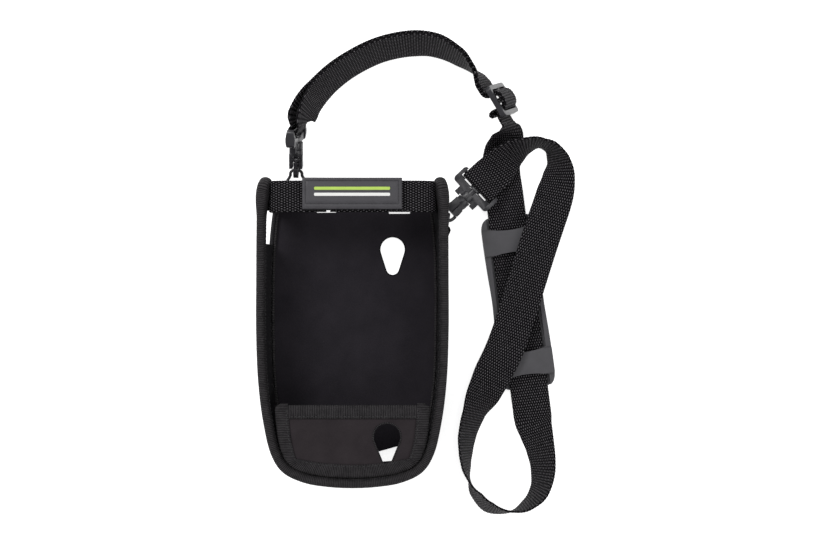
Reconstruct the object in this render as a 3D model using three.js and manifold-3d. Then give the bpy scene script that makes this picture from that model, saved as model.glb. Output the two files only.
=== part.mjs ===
// Soft carrying holster for a handheld network tester, with an adjustable shoulder strap.
// It lies on its back: X to the right, Y towards the open top end, Z up, away from the back panel.
// Millimetres. The origin is on the rear face of the back panel, midway between the side walls.
import * as THREE from 'three';
import { mergeVertices } from 'three/addons/utils/BufferGeometryUtils.js';
import Module from 'manifold-3d';

const wasm = await Module();
wasm.setup();

// ---- Driving dimensions ----
const GAP = 0.35; // clearance between separate pieces that touch
const PANEL = 2.6; // back panel laminate
const WALL = 2.6; // gusset laminate
const WALL_HEIGHT = 38; // gusset under its binding
const RIM_TOP = 43;
const TOP_EDGE = 84; // end of the back panel at the open top
const BINDING = 1.0; // grosgrain tape
const POCKET_Z = 34; // rear face of the front pocket panel
const POCKET = 2; // pocket panel laminate
const WEBBING = 1.5; // thickness of the shoulder webbing
const STRAP = 25; // width of the shoulder webbing
const BRIDGE = 20; // width of the bridge webbing
const BRIDGE_Z = 39; // rear face of the bridge where it spans the opening
const BRIDGE_Y = 86.4; // middle of the bridge webbing
const LABEL_Y = 88; // middle of the label patch
const LABEL = 63; // length of the label patch

// snap hooks, along their own axis from the strap loop (0) to the jaw
const JAW_AT = 24;
const JAW_HOLE = 3;
const JAW_OUTER = 5.2;
const HOOK_THICK = 3.2;
const LOOP_LONG = 31;
const LOOP_DEEP = 12;
const LOOP_SIDE = 2.45; // width of a side arm
const LOOP_BAR = -3.25; // middle of the round strap bar, along the hook
const LOOP_BAR_RADIUS = 1.35;
const LOOP_BASE = 1; // near face of the base bar

// D-rings
const RING_WIRE = 1; // radius of the wire
const RING_WIDE = 14;
const RING_NECK = 3.8; // half its width at the bow, to the middle of the wire
const RING_REACH = 10.5; // straight bar to the middle of the bow

// tri-glide adjuster
const GLIDE_LONG = 31;
const GLIDE_WIDE = 22;
const GLIDE_BAR = 3;
const GLIDE_THICK = 3.4;

// shoulder pad, along its own axis
const PAD_LENGTH = 114;
const PAD_WIDTH = 36;
const PAD_BASE = 3.3;
const PAD_TOP = 9;
const PAD_AT = [107.4, 18.8];
const PAD_TILT = 7.3; // degrees from -Y towards +X

const colours = {
  panel: { color: 0x1d1b22, roughness: 0.9, metalness: 0 },
  binding: { color: 0x3a3837, roughness: 0.85, metalness: 0 },
  webbing: { color: 0x151417, roughness: 0.8, metalness: 0 },
  label: { color: 0x3c3b40, roughness: 0.6, metalness: 0 },
  plastic: { color: 0x35353b, roughness: 0.45, metalness: 0 },
  rubber: { color: 0x46464d, roughness: 0.7, metalness: 0 },
};

const model = new THREE.Group();

function add(name, geometry, material, parent = model) {
  const mesh = new THREE.Mesh(geometry, new THREE.MeshStandardMaterial(colours[material]));
  mesh.name = name;
  parent.add(mesh);
  return mesh;
}

// ---- Solids ----
const vec = (x, y, z = 0) => new THREE.Vector3(x, y, z);
const radians = THREE.MathUtils.degToRad;

// A closed solid through rings of matching corner points, capped at both ends.
// `section` is the flat outline used to triangulate the caps.
function loft(rings, section) {
  const count = section.length;
  const positions = rings.flat().flatMap((p) => [p.x, p.y, p.z]);
  const index = [];
  for (let r = 0; r + 1 < rings.length; r++) {
    for (let i = 0; i < count; i++) {
      const a = r * count + i;
      const b = r * count + ((i + 1) % count);
      index.push(a, b, b + count, a, b + count, a + count);
    }
  }
  const last = (rings.length - 1) * count;
  for (const [a, b, c] of THREE.ShapeUtils.triangulateShape(section, [])) {
    index.push(a, c, b, last + a, last + b, last + c);
  }
  const geometry = new THREE.BufferGeometry();
  geometry.setAttribute('position', new THREE.Float32BufferAttribute(positions, 3));
  geometry.setIndex(index);
  return outward(geometry);
}

// Turns the faces of a closed solid outwards where its winding made them face in.
function outward(geometry) {
  const p = geometry.attributes.position;
  const at = (i) => vec(p.getX(i), p.getY(i), p.getZ(i));
  const index = [...geometry.index.array];
  let volume = 0;
  for (let i = 0; i < index.length; i += 3) {
    volume += at(index[i]).dot(at(index[i + 1]).cross(at(index[i + 2])));
  }
  if (volume < 0) {
    for (let i = 0; i < index.length; i += 3) {
      [index[i + 1], index[i + 2]] = [index[i + 2], index[i + 1]];
    }
  }
  geometry.setIndex(index);
  return geometry;
}

function solid(geometry) {
  const bare = geometry.clone();
  bare.deleteAttribute('normal');
  bare.deleteAttribute('uv');
  const merged = mergeVertices(bare, 1e-4);
  return new wasm.Manifold(new wasm.Mesh({
    numProp: 3,
    vertProperties: new Float32Array(merged.attributes.position.array),
    triVerts: new Uint32Array(merged.index.array),
  }));
}

function geometryOf(manifold) {
  const mesh = manifold.getMesh();
  const geometry = new THREE.BufferGeometry();
  geometry.setAttribute('position', new THREE.BufferAttribute(mesh.vertProperties, 3));
  geometry.setIndex(new THREE.BufferAttribute(mesh.triVerts, 1));
  return geometry;
}

// A plate of an outline in XY, from z0 to z1.
function plate(shape, z0, z1, curveSegments = 10) {
  const settings = { depth: z1 - z0, bevelEnabled: false, curveSegments };
  return new THREE.ExtrudeGeometry(shape, settings).translate(0, 0, z0);
}

function block(x0, x1, y0, y1, z0, z1) {
  return new THREE.BoxGeometry(x1 - x0, y1 - y0, z1 - z0)
    .translate((x0 + x1) / 2, (y0 + y1) / 2, (z0 + z1) / 2);
}

function polygon(points) {
  return new THREE.Shape(points.map(([x, y]) => new THREE.Vector2(x, y)));
}

// A teardrop hole: a round head and a smaller foot below it, joined by tangents.
function teardrop(x, headY, headR, footY, footR, Kind = THREE.Path) {
  const path = new Kind();
  const lean = Math.asin((headR - footR) / (headY - footY));
  path.absarc(x, headY, headR, -lean, Math.PI + lean, false);
  path.absarc(x, footY, footR, Math.PI + lean, 2 * Math.PI - lean, false);
  path.closePath();
  return path;
}

// ---- Gusset: the walls that stand round the sides and the bottom ----
// Half of the U in plan, from the top end down the right side to the middle of the bottom:
// [inner base x, y, inner top x, y]. The left half is its mirror image.
const halfU = [
  [49.8, 84.0, 55.4, 95.5],
  [51.4, 74.0, 56.6, 84.0],
  [53.3, 56.0, 56.9, 62.0],
  [54.3, 30.0, 57.0, 34.0],
  [54.3, 0.0, 57.0, 0.0],
  [53.4, -30.0, 55.8, -30.0],
  [50.6, -54.0, 52.8, -55.0],
  [45.4, -74.0, 47.6, -76.5],
  [39.6, -83.0, 41.6, -85.6],
  [28.0, -88.4, 29.6, -91.4],
  [14.0, -90.6, 14.6, -93.9],
];
const middleBottom = [0, -91.2, 0, -94.6];
const mirrored = ([bx, by, tx, ty]) => [-bx, by, -tx, ty];
const uPoints = [...halfU.map(mirrored), middleBottom, ...[...halfU].reverse()];
const uBase = new THREE.CatmullRomCurve3(uPoints.map(([x, y]) => vec(x, y, 0)), false, 'centripetal');
const wallTop = uPoints.map(([, , x, y]) => vec(x, y, WALL_HEIGHT));
const uTop = new THREE.CatmullRomCurve3(wallTop, false, 'centripetal');
const U_SIDE = 8.35; // where the side walls meet the bottom wall, in control points from each end
const uSpan = uPoints.length - 1;

// The wall's own frame at parameter t: inner base point, up the wall, and outwards across it.
function wallFrame(t) {
  const base = uBase.getPoint(t);
  const top = uTop.getPoint(t);
  const up = top.clone().sub(base).normalize();
  const along = uTop.getTangent(t);
  const out = along.clone().cross(up).normalize();
  return { base, up, out };
}

// A strip that follows the U from t0 to t1; `section` is [outwards, up the wall] corners.
function alongWall(section, t0, t1, steps) {
  const rings = [];
  for (let i = 0; i <= steps; i++) {
    const { base, up, out } = wallFrame(t0 + ((t1 - t0) * i) / steps);
    rings.push(section.map(([o, h]) => base.clone().addScaledVector(out, o).addScaledVector(up, h)));
  }
  return loft(rings, section.map(([o, h]) => new THREE.Vector2(o, h)));
}

const rectangle = (a0, a1, b0, b1) => [[a0, b0], [a1, b0], [a1, b1], [a0, b1]];
const wallSection = [[0, 0], [WALL, 0.6], [WALL, WALL_HEIGHT], [0, WALL_HEIGHT]];
const seam = 0.0012; // half of the gap between neighbouring walls, in curve parameter
const leftEnd = U_SIDE / uSpan;
const rightEnd = 1 - leftEnd;

const slot = block(-70, -45, 56.5, 78, 5, 33.5);
const leftWall = solid(alongWall(wallSection, 0, leftEnd - seam, 26)).subtract(solid(slot));
add('left_wall', geometryOf(leftWall), 'panel');
add('bottom_wall', alongWall(wallSection, leftEnd + seam, rightEnd - seam, 22), 'panel');
add('right_wall', alongWall(wallSection, rightEnd + seam, 1, 26), 'panel');

// binding folded over the free edge of the walls
const rimSkirt = WALL_HEIGHT - 4;
const rimPeak = RIM_TOP - 0.6;
const rimInner = -GAP - BINDING;
const rimOuter = WALL + GAP + BINDING;
const rimSection = [
  [rimInner, rimSkirt], [-GAP, rimSkirt], [-GAP, WALL_HEIGHT + GAP], [WALL + GAP, WALL_HEIGHT + GAP],
  [WALL + GAP, rimSkirt], [rimOuter, rimSkirt], [rimOuter, rimPeak - 1.5], [WALL / 2, rimPeak],
  [rimInner, rimPeak - 1.5],
];
add('rim_binding', alongWall(rimSection, 0, 1, 72), 'binding');

// piping that covers the seam between the walls and the back panel, inside
const piping = [[-2.2, PANEL + GAP], [-GAP, PANEL + GAP], [-GAP, PANEL + GAP + 2]];
add('seam_piping', alongWall(piping, 0.006, 0.994, 60), 'binding');

// ---- Back panel ----
const backShape = new THREE.Shape();
const backSteps = 60;
for (let i = 0; i <= backSteps; i++) {
  const { base, out } = wallFrame(i / backSteps);
  const p = base.addScaledVector(out, -GAP);
  if (i === 0) backShape.moveTo(p.x, TOP_EDGE);
  else if (i === backSteps) backShape.lineTo(p.x, TOP_EDGE);
  else backShape.lineTo(p.x, p.y);
}
backShape.closePath();
const LASH = 1.8; // height of a lash slot
const lashSlots = [[-25, -12, 77.5], [22.5, 36.5, 76.8]];
for (const [x0, x1, y0] of lashSlots) {
  backShape.holes.push(polygon([[x0, y0], [x1, y0 + 0.1], [x1, y0 + LASH + 0.1], [x0, y0 + LASH]]));
}
backShape.holes.push(teardrop(25, 53.3, 8.4, 40.8, 4.6));
backShape.holes.push(polygon([[10.5, -81.2], [12, -87], [31, -85.6], [33, -75]]));
add('back_panel', plate(backShape, 0, PANEL), 'panel');
add('back_top_binding', block(-49.8, 49.8, TOP_EDGE + GAP, TOP_EDGE + 2.6, 0, PANEL + 0.8), 'binding');

// ---- Front pocket: a laminate panel held by a wide binding ----
function pocketOutline(inset, topInset) {
  const s = new THREE.Shape();
  const side = 49.4 - inset;
  s.moveTo(-side, -46.5 - topInset);
  s.bezierCurveTo(-side + 0.6, -62, -side + 2.2, -74, -43.2 + inset * 0.9, -80.5);
  s.bezierCurveTo(-38 + inset * 0.6, -88.5 + inset, -28 + inset * 0.4, -92.2 + inset, 0, -92.6 + inset);
  s.bezierCurveTo(28 - inset * 0.4, -92.2 + inset, 38 - inset * 0.6, -88.5 + inset, 43.2 - inset * 0.9, -80.5);
  s.bezierCurveTo(side - 2.2, -74, side - 0.6, -62, side, -46.5 - topInset);
  s.closePath();
  return s;
}
const POCKET_BAND = 8.4;
const pocketHole = teardrop(21.9, -66.5, 8.9, -80.6, 3.6);
const pocketShape = pocketOutline(0.5, 0.5);
pocketShape.holes.push(pocketHole);
add('pocket_panel', plate(pocketShape, POCKET_Z, POCKET_Z + POCKET), 'panel');

const bandZ = POCKET_Z + POCKET + GAP;
const bandOuter = solid(plate(pocketOutline(0, 0), bandZ, bandZ + BINDING));
const bandInner = solid(plate(pocketOutline(POCKET_BAND, POCKET_BAND), bandZ - 1, bandZ + BINDING + 1));
const bandTop = solid(block(-60, 60, -46.5 - POCKET_BAND, -30, bandZ - 1, bandZ + BINDING + 1));
const bandHoleShape = teardrop(21.9, -66.5, 9.3, -80.6, 4, THREE.Shape);
const bandHole = solid(plate(bandHoleShape, bandZ - 1, bandZ + BINDING + 1));
const edgeBand = bandOuter.subtract(bandInner).subtract(bandTop).subtract(bandHole);
add('pocket_edge_binding', geometryOf(edgeBand), 'binding');
const topBand = block(-48.6, 48.6, -46.5 - POCKET_BAND + GAP, -46.3, bandZ, bandZ + BINDING);
add('pocket_top_binding', topBand, 'binding');

// ---- Ribbons: flat webbing along a route ----
const webbingSection = (width) => rectangle(-width / 2, width / 2, -WEBBING / 2, WEBBING / 2);
const flat = (section) => section.map(([a, b]) => new THREE.Vector2(a, b));

// A route is a list of [x, y, z, turn]: the middle of the webbing and how far its width is turned,
// in degrees, from the left-hand side of the direction of travel up towards +Z.
class Ribbon {
  constructor(route) {
    this.curve = new THREE.CatmullRomCurve3(route.map(([x, y, z]) => vec(x, y, z)), false, 'centripetal');
    this.turns = route.map((p) => p[3]);
  }

  frame(t) {
    const middle = this.curve.getPoint(t);
    const along = this.curve.getTangent(t);
    const left = vec(-along.y, along.x, 0).normalize();
    const up = along.clone().cross(left);
    const at = t * (this.turns.length - 1);
    const i = Math.min(Math.floor(at), this.turns.length - 2);
    const s = THREE.MathUtils.smoothstep(at - i, 0, 1) * 0.4 + (at - i) * 0.6;
    const turn = radians(THREE.MathUtils.lerp(this.turns[i], this.turns[i + 1], s));
    const across = left.clone().multiplyScalar(Math.cos(turn)).addScaledVector(up, Math.sin(turn));
    return { middle, along, across, face: along.clone().cross(across) };
  }

  // The solid webbing from t0 to t1, moved off the route along its own face by offset(t).
  solid(t0, t1, steps, offset = () => 0) {
    const rings = [];
    for (let i = 0; i <= steps; i++) {
      const t = t0 + ((t1 - t0) * i) / steps;
      const { middle, across, face } = this.frame(t);
      rings.push(webbingSection(STRAP).map(([a, f]) => middle.clone()
        .addScaledVector(across, a).addScaledVector(face, f + offset(t))));
    }
    return loft(rings, flat(webbingSection(STRAP)));
  }
}

// A folded ribbon: `points` are [along, height] in its own XZ plane, and its width runs along Y.
function foldedRibbon(points, width) {
  const curve = new THREE.CatmullRomCurve3(points.map(([a, h]) => vec(a, 0, h)), false, 'centripetal');
  const steps = (points.length - 1) * 3;
  const rings = [];
  for (let i = 0; i <= steps; i++) {
    const p = curve.getPoint(i / steps);
    const d = curve.getTangent(i / steps);
    rings.push(webbingSection(width).map(([across, f]) => vec(p.x - d.z * f, across, p.z + d.x * f)));
  }
  return loft(rings, flat(webbingSection(width)));
}

// The placement whose own X and Y point along the given directions.
function placed(at, xAxis, yAxis) {
  const x = vec(...xAxis).normalize();
  const z = x.clone().cross(vec(...yAxis)).normalize();
  const group = new THREE.Group();
  group.applyMatrix4(new THREE.Matrix4().makeBasis(x, z.clone().cross(x), z).setPosition(...at));
  model.add(group);
  return group;
}

// A round bar along X.
function barX(radius, x0, x1, sides = 20) {
  return new THREE.CylinderGeometry(radius, radius, x1 - x0, sides)
    .rotateZ(Math.PI / 2).translate((x0 + x1) / 2, 0, 0);
}

// A round bar along Z at (x, y).
function barZ(radius, x, y, z0, z1, sides = 16) {
  return new THREE.CylinderGeometry(radius, radius, z1 - z0, sides)
    .rotateX(Math.PI / 2).translate(x, y, (z0 + z1) / 2);
}

const union = (...geometries) => geometries.map(solid).reduce((a, b) => a.add(b));

// ---- Bridge over the open front: two webbing straps that close under the label ----
// The closing strap folds back about a line along Y at x = 49.3, z = 37, beside the right wall.
const WEB_MIDDLE = BRIDGE_Z + WEBBING / 2;
const bridge = new THREE.Group();
bridge.position.y = BRIDGE_Y;
model.add(bridge);

const leftBridge = [
  [-50.4, 15], [-51.4, 24], [-51.8, 32], [-50.4, 36.6], [-46, 39.2],
  [-40, WEB_MIDDLE], [-28, WEB_MIDDLE], [-16.5, WEB_MIDDLE],
];
add('bridge_strap_left', foldedRibbon(leftBridge, BRIDGE), 'webbing', bridge);
const anchor = [[50.4, 15], [51.4, 24], [51.8, 31], [50.9, 34.7]];
add('bridge_anchor_right', foldedRibbon(anchor, BRIDGE), 'webbing', bridge);
const rightBridge = [
  [48.9, 36.9], [45.4, 39.0], [40, WEB_MIDDLE], [10, WEB_MIDDLE], [-14, WEB_MIDDLE],
];
add('bridge_strap_right', foldedRibbon(rightBridge, BRIDGE), 'webbing', bridge);

const half = BRIDGE / 2;
const patchZ = BRIDGE_Z + WEBBING + GAP;
const PATCH = 0.7;
const backingTop = patchZ + 2 * PATCH + GAP;
const labelZ = backingTop + GAP;
const LABEL_THICK = 1.6;
add('hook_patch', block(-30, -17, 1 - half, half - 1, patchZ, patchZ + PATCH), 'webbing', bridge);
add('loop_patch', block(-30.5, -13, 1 - half, half - 1, backingTop - PATCH, backingTop), 'webbing', bridge);
const label = new THREE.Group();
label.position.y = LABEL_Y;
model.add(label);
add('label_backing', block(-12, 31, -half, half, patchZ, backingTop), 'webbing', label);
function roundedPlate(length, width, radius) {
  const x = length / 2 - radius;
  const y = width / 2 - radius;
  const s = new THREE.Shape();
  s.absarc(x, y, radius, 0, Math.PI / 2, false);
  s.absarc(-x, y, radius, Math.PI / 2, Math.PI, false);
  s.absarc(-x, -y, radius, Math.PI, 1.5 * Math.PI, false);
  s.absarc(x, -y, radius, 1.5 * Math.PI, 2 * Math.PI, false);
  return s;
}
add('label_patch', plate(roundedPlate(LABEL, BRIDGE, 1.2), labelZ, labelZ + LABEL_THICK, 4), 'label', label);

// ---- Snap hooks, D-rings and their tabs ----
// A planar closed wire of round section, in its own XY plane.
function wireLoop(points, radius, steps, sides) {
  const curve = new THREE.CatmullRomCurve3(points.map(([x, y]) => vec(x, y)), true, 'centripetal');
  const positions = [];
  const index = [];
  for (let i = 0; i < steps; i++) {
    const p = curve.getPoint(i / steps);
    const d = curve.getTangent(i / steps);
    for (let j = 0; j < sides; j++) {
      const a = (2 * Math.PI * j) / sides;
      const r = radius * Math.cos(a);
      positions.push(p.x + d.y * r, p.y - d.x * r, radius * Math.sin(a));
      const [k, l] = [(i + 1) % steps, (j + 1) % sides];
      const [q, s, u, v] = [i * sides + j, k * sides + j, k * sides + l, i * sides + l];
      index.push(q, s, u, q, u, v);
    }
  }
  const geometry = new THREE.BufferGeometry();
  geometry.setAttribute('position', new THREE.Float32BufferAttribute(positions, 3));
  geometry.setIndex(index);
  return outward(geometry);
}

const ringHalf = RING_WIDE / 2 - RING_WIRE;
const ringPoints = [
  [-ringHalf + 1.2, 0], [0, 0], [ringHalf - 1.2, 0], [ringHalf, 1.2], [ringHalf, 3.3],
  [RING_NECK + 0.9, 5.4], [RING_NECK, 7.2], [RING_NECK, 8.6], [2.6, 10.2], [0, RING_REACH], [-2.6, 10.2],
  [-RING_NECK, 8.6], [-RING_NECK, 7.2], [-RING_NECK - 0.9, 5.4], [-ringHalf, 3.3], [-ringHalf, 1.2],
];
const TAB = 9; // width of a tab
const TAB_RISE = 2.1; // sewn layer of a tab to the middle of the ring's straight bar

// The tab's webbing runs out to the bar, round it and back; the bar is at `length`.
const tabPoints = (length) => [
  [0, 0], [length * 0.5, 0], [length - 1, -0.05], [length + 1.6, 0.7], [length + 2.15, TAB_RISE],
  [length + 1.5, 3.6], [length - 0.4, 4.15], [length - 3, 3.0], [length - 5.5, 1.95], [0.4, 1.95],
];

// Swivel loop: strap bar, tapered side arms, a deep base bar with a collar, and a prong on each side of it.
function swivelLoop() {
  const end = LOOP_LONG / 2;
  const inner = end - LOOP_SIDE;
  const deep = LOOP_DEEP / 2;
  const arm = polygon([
    [-deep, -2.1], [-0.5, -3.1], [2, -3.1], [deep, -2.5], [deep, 2.5], [2, 3.1], [-0.5, 3.1], [-deep, 2.1],
  ]);
  const frame = solid(plate(roundedPlate(LOOP_DEEP, LOOP_LONG, 2.5), -2, 2, 4));
  const opened = frame.subtract(solid(block(-deep - 1, LOOP_BASE, -inner, inner, -5, 5)));
  const bar = new THREE.CylinderGeometry(LOOP_BAR_RADIUS, LOOP_BAR_RADIUS, 2 * inner + 1, 16)
    .translate(LOOP_BAR, 0, 0);
  const body = opened.add(union(
    bar,
    plate(arm, inner, end).rotateX(Math.PI / 2),
    plate(arm, -end, -inner).rotateX(Math.PI / 2),
  )).intersect(solid(plate(roundedPlate(LOOP_DEEP, LOOP_LONG, 2.5), -4, 4, 4))).add(union(
    block(deep - 1, 10.8, -8.6, -4.9, -1.9, 1.9),
    block(deep - 1, 10.8, 4.9, 8.6, -1.9, 1.9),
    block(deep - 1, 9.4, -5.4, 5.4, -1.9, 1.9),
    block(0.1, 1.6, -inner - 0.5, -9.6, -1.2, 1.2),
    block(0.1, 1.6, 9.6, inner + 0.5, -1.2, 1.2),
    barX(4.5, deep - 0.6, 9.5),
  ));
  const pinHole = union(barX(2.6, 1.5, 10.5), barX(4.3, -1, 2));
  return geometryOf(body.subtract(pinHole));
}

const GATE_AT = [16.2, -2.6];
const PIN = 0.6;

function hookBody() {
  const s = new THREE.Shape();
  s.moveTo(13.4, 4.2);
  s.lineTo(13.4, -4.2);
  s.lineTo(17.6, -4.2);
  s.lineTo(17.6, -1.0);
  s.quadraticCurveTo(16.6, 1.4, 18.2, JAW_HOLE);
  s.lineTo(JAW_AT, JAW_HOLE);
  s.absarc(JAW_AT, 0, JAW_HOLE, Math.PI / 2, -Math.PI / 2, true);
  s.lineTo(21.8, -JAW_HOLE);
  s.lineTo(21.8, -JAW_OUTER);
  s.lineTo(JAW_AT, -JAW_OUTER);
  s.absarc(JAW_AT, 0, JAW_OUTER, -Math.PI / 2, Math.PI / 2, false);
  s.lineTo(18.5, JAW_OUTER);
  s.closePath();
  const body = union(
    plate(s, -HOOK_THICK / 2, HOOK_THICK / 2, 14),
    barX(4.5, 9.9, 14.2),
    block(12.4, 22.2, -4.3, 4.9, 2, 4.3),
    block(12.4, 22.2, -4.3, 4.9, -4.3, -2),
    barX(2.2, 0.8, 10.4),
    barX(3.9, 0.1, 1.6),
  );
  const cuts = [
    block(14.2, 18.2, -5.4, -0.8, -0.95, 0.95),
    barZ(PIN + 0.3, ...GATE_AT, -3, 3),
    block(14.8, 23, -0.7, 0.1, 3.7, 5),
    block(14.8, 23, -0.7, 0.1, -5, -3.7),
    ...[15.0, 17.7, 20.4].map((x) => block(x, x + 0.6, -5, -3.8, -5, 5)),
  ];
  return geometryOf(cuts.reduce((a, b) => a.subtract(solid(b)), body));
}

function gate() {
  const body = union(
    barZ(1.5, ...GATE_AT, -0.62, 0.62),
    block(GATE_AT[0], 19, -4.8, -3.1, -0.62, 0.62),
    block(18.2, 21.4, -5.0, -3.0, -1.35, 1.35),
  );
  return geometryOf(body.subtract(solid(barZ(PIN + 0.3, ...GATE_AT, -3, 3))));
}

// The strap's turn round the loop's strap bar, seen along the bar: [along the hook, height].
const loopTurn = [
  [-7.2, 2.3], [-5.4, 2.5], [-3.2, 2.55], [-1.5, 2.1], [-0.9, 0.9],
  [-0.9, -0.9], [-1.5, -2.1], [-3.2, -2.55], [-5.4, -2.5], [-7.2, -2.3],
];

// The strap may leave at an angle to the hook: the same turn, swung round the middle of the strap bar.
function swungTurn(degrees) {
  const [c, s] = [Math.cos(radians(degrees)), Math.sin(radians(degrees))];
  return loopTurn.map(([x, z]) => [LOOP_BAR + (x - LOOP_BAR) * c - z * s, (x - LOOP_BAR) * s + z * c]);
}

const hooks = [
  {
    side: 'left', swing: 25, loopAt: [-37.4, 127.8, 17.2], jawAt: [-38, 105.1, 9.4],
    loopAcross: [-0.182, -0.3152, 0.9314], jawAcross: [0, 0.325, -0.9457],
    ringBar: [-38, 94.8, 6.6], barAlong: [1, 0, 0], tabLength: 14.5, tabBack: [0, -1, 0], tabUp: [0, 0, 1],
  },
  {
    side: 'right', swing: 0, loopAt: [79.38, 92.54, 9.6], jawAt: [61.8, 76.2, 9.6],
    loopAcross: [0.6807, -0.7326, 0], jawAcross: [-0.6807, 0.7326, 0],
    ringBar: [60.2, 65.82, 9.6], barAlong: [0, 0, 1], tabLength: 16, tabBack: [0.035, -1, 0], tabUp: [1, 0.035, 0],
  },
];

for (const hook of hooks) {
  const axis = vec(...hook.jawAt).sub(vec(...hook.loopAt)).toArray();
  const loop = placed(hook.loopAt, axis, hook.loopAcross);
  add(`${hook.side}_swivel_loop`, swivelLoop(), 'plastic', loop);
  add(`${hook.side}_strap_turn`, foldedRibbon(swungTurn(hook.swing), STRAP), 'webbing', loop);
  const body = placed(hook.loopAt, axis, hook.jawAcross);
  add(`${hook.side}_snap_hook`, hookBody(), 'plastic', body);
  add(`${hook.side}_gate`, gate(), 'plastic', body);
  add(`${hook.side}_gate_pin`, barZ(PIN, ...GATE_AT, -1.5, 1.5), 'plastic', body);

  const reach = vec(...hook.jawAt).sub(vec(...hook.ringBar)).toArray();
  const ring = placed(hook.ringBar, hook.barAlong, reach);
  add(`${hook.side}_d_ring`, wireLoop(ringPoints, RING_WIRE, 40, 8), 'plastic', ring);
  const back = vec(...hook.tabBack).normalize();
  const up = vec(...hook.tabUp).normalize();
  const start = vec(...hook.ringBar).addScaledVector(back, hook.tabLength).addScaledVector(up, -TAB_RISE);
  const across = up.clone().cross(back.clone().negate()).toArray();
  const tab = placed(start.toArray(), back.clone().negate().toArray(), across);
  add(`${hook.side}_ring_tab`, foldedRibbon(tabPoints(hook.tabLength), TAB), 'webbing', tab);
}

// ---- Tri-glide adjuster: its own X follows the strap, its Y runs along the bars ----
const glideAt = [96.3, 150.4, 15.1];
const glide = placed(glideAt, [0.506, -0.863, 0], [-0.337, -0.198, 0.92]);
const glideEnd = GLIDE_WIDE / 2;
const glideSide = GLIDE_LONG / 2;
const glideThick = GLIDE_THICK / 2;
const slotHalf = glideSide - 2.5;
const midBar = GLIDE_BAR / 2;
const frame = solid(plate(roundedPlate(GLIDE_WIDE, GLIDE_LONG, 3), -glideThick, glideThick, 6));
const windows = [-1, 1].map((side) => {
  const [near, far] = [side * midBar, side * (glideEnd - GLIDE_BAR)];
  return solid(block(Math.min(near, far), Math.max(near, far), -slotHalf, slotHalf, -5, 5));
});
const thinning = [[-5, -1.2], [1.2, 5]].map(([z0, z1]) => (
  solid(block(-midBar - 0.5, midBar + 0.5, -slotHalf, slotHalf, z0, z1))
));
const glideSolid = [...windows, ...thinning].reduce((a, b) => a.subtract(b), frame);
add('adjuster_frame', geometryOf(glideSolid), 'plastic', glide);

// the webbing that is adjusted passes over the middle bar
const overBar = [
  [-15, 4.4], [-11, 4.3], [-7.2, 3.6], [-4.9, 1.4], [-4.4, -1.5], [-2.8, -3.9], [0, -4.4],
  [2.8, -3.9], [4.4, -1.5], [4.9, 1.4], [7.2, 3.6], [11, 4.3], [15, 4.4],
];
add('strap_over_adjuster', foldedRibbon(overBar, STRAP), 'webbing', glide);

// the sewn end turns round the middle bar, under it, and its tail stands off behind
const roundBar = [
  [-15, 6.6], [-9, 6.3], [-4.8, 5.6], [-2.9, 3.8], [-2.6, 1], [-2.45, -1.2], [-1.7, -2.15], [0, -2.35],
  [1.7, -2.15], [2.45, -1.2], [2.6, 1], [2.8, 3.6], [3.1, 5.6], [3.5, 7.6],
];
add('strap_sewn_end', foldedRibbon(roundBar, STRAP), 'webbing', glide);

// ---- Shoulder strap ----
// Two layers stand on edge along the arc between the left hook and the adjuster.
const arc = new Ribbon([
  [-35.3, 134.66, 19.93, 89], [-34.3, 136.5, 20.7, 86], [-31.9, 141.2, 21.2, 77], [-28.7, 147.0, 19.6, 69],
  [-24.4, 153.8, 16.2, 63],
  [-14.5, 165.0, 12.9, 61], [-0.7, 174.9, 12.2, 62], [17.9, 183.6, 12.2, 62], [39.0, 187.5, 12.2, 62],
  [54.0, 186.0, 12.4, 66], [68.4, 178.6, 12.9, 76], [77.2, 170.8, 13.2, 92], [82.06, 164.67, 13.0, 108],
  [84.09, 161.22, 12.95, 113],
]);
const { smoothstep } = THREE.MathUtils;
// The two layers stand apart at the hook's strap bar, bow out a little more beyond it, and then close up.
const ease = (t) => (
  1.1 + 1.2 * (1 - smoothstep(t, 0, 0.28)) + 1.7 * smoothstep(t, 0, 0.15) * (1 - smoothstep(t, 0.17, 0.36))
);
add('strap_arc_outer', arc.solid(0, 1, 64, (t) => -ease(t)), 'webbing');
add('strap_arc_inner', arc.solid(0, 1, 64, ease), 'webbing');

// Places along the shoulder pad's axis.
const padAxis = [Math.sin(radians(PAD_TILT)), -Math.cos(radians(PAD_TILT))];
const onPad = (s, z, turn) => [PAD_AT[0] + padAxis[0] * s, PAD_AT[1] + padAxis[1] * s, z, turn];
const PAD_WEB_Z = 4.75;
const RUN = 71; // half of the straight stretch that the pad slides on

const lower = new Ribbon([
  [100.75, 134.8, 13.38, 113], [101.2, 131.6, 12.9, 117], [99.2, 124.4, 8.8, 146], [97.2, 116.6, 3.4, 172],
  [96.5, 110.0, 1.3, 180], onPad(-84, 1.6, 180), onPad(-77, 3.6, 180), onPad(-RUN - 0.4, PAD_WEB_Z, 180),
]);
add('strap_lower', lower.solid(0, 1, 36), 'webbing');

const padRun = new Ribbon([onPad(-RUN, PAD_WEB_Z, 180), onPad(RUN, PAD_WEB_Z, 180)]);
add('strap_pad_run', padRun.solid(0, 1, 1), 'webbing');

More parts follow.
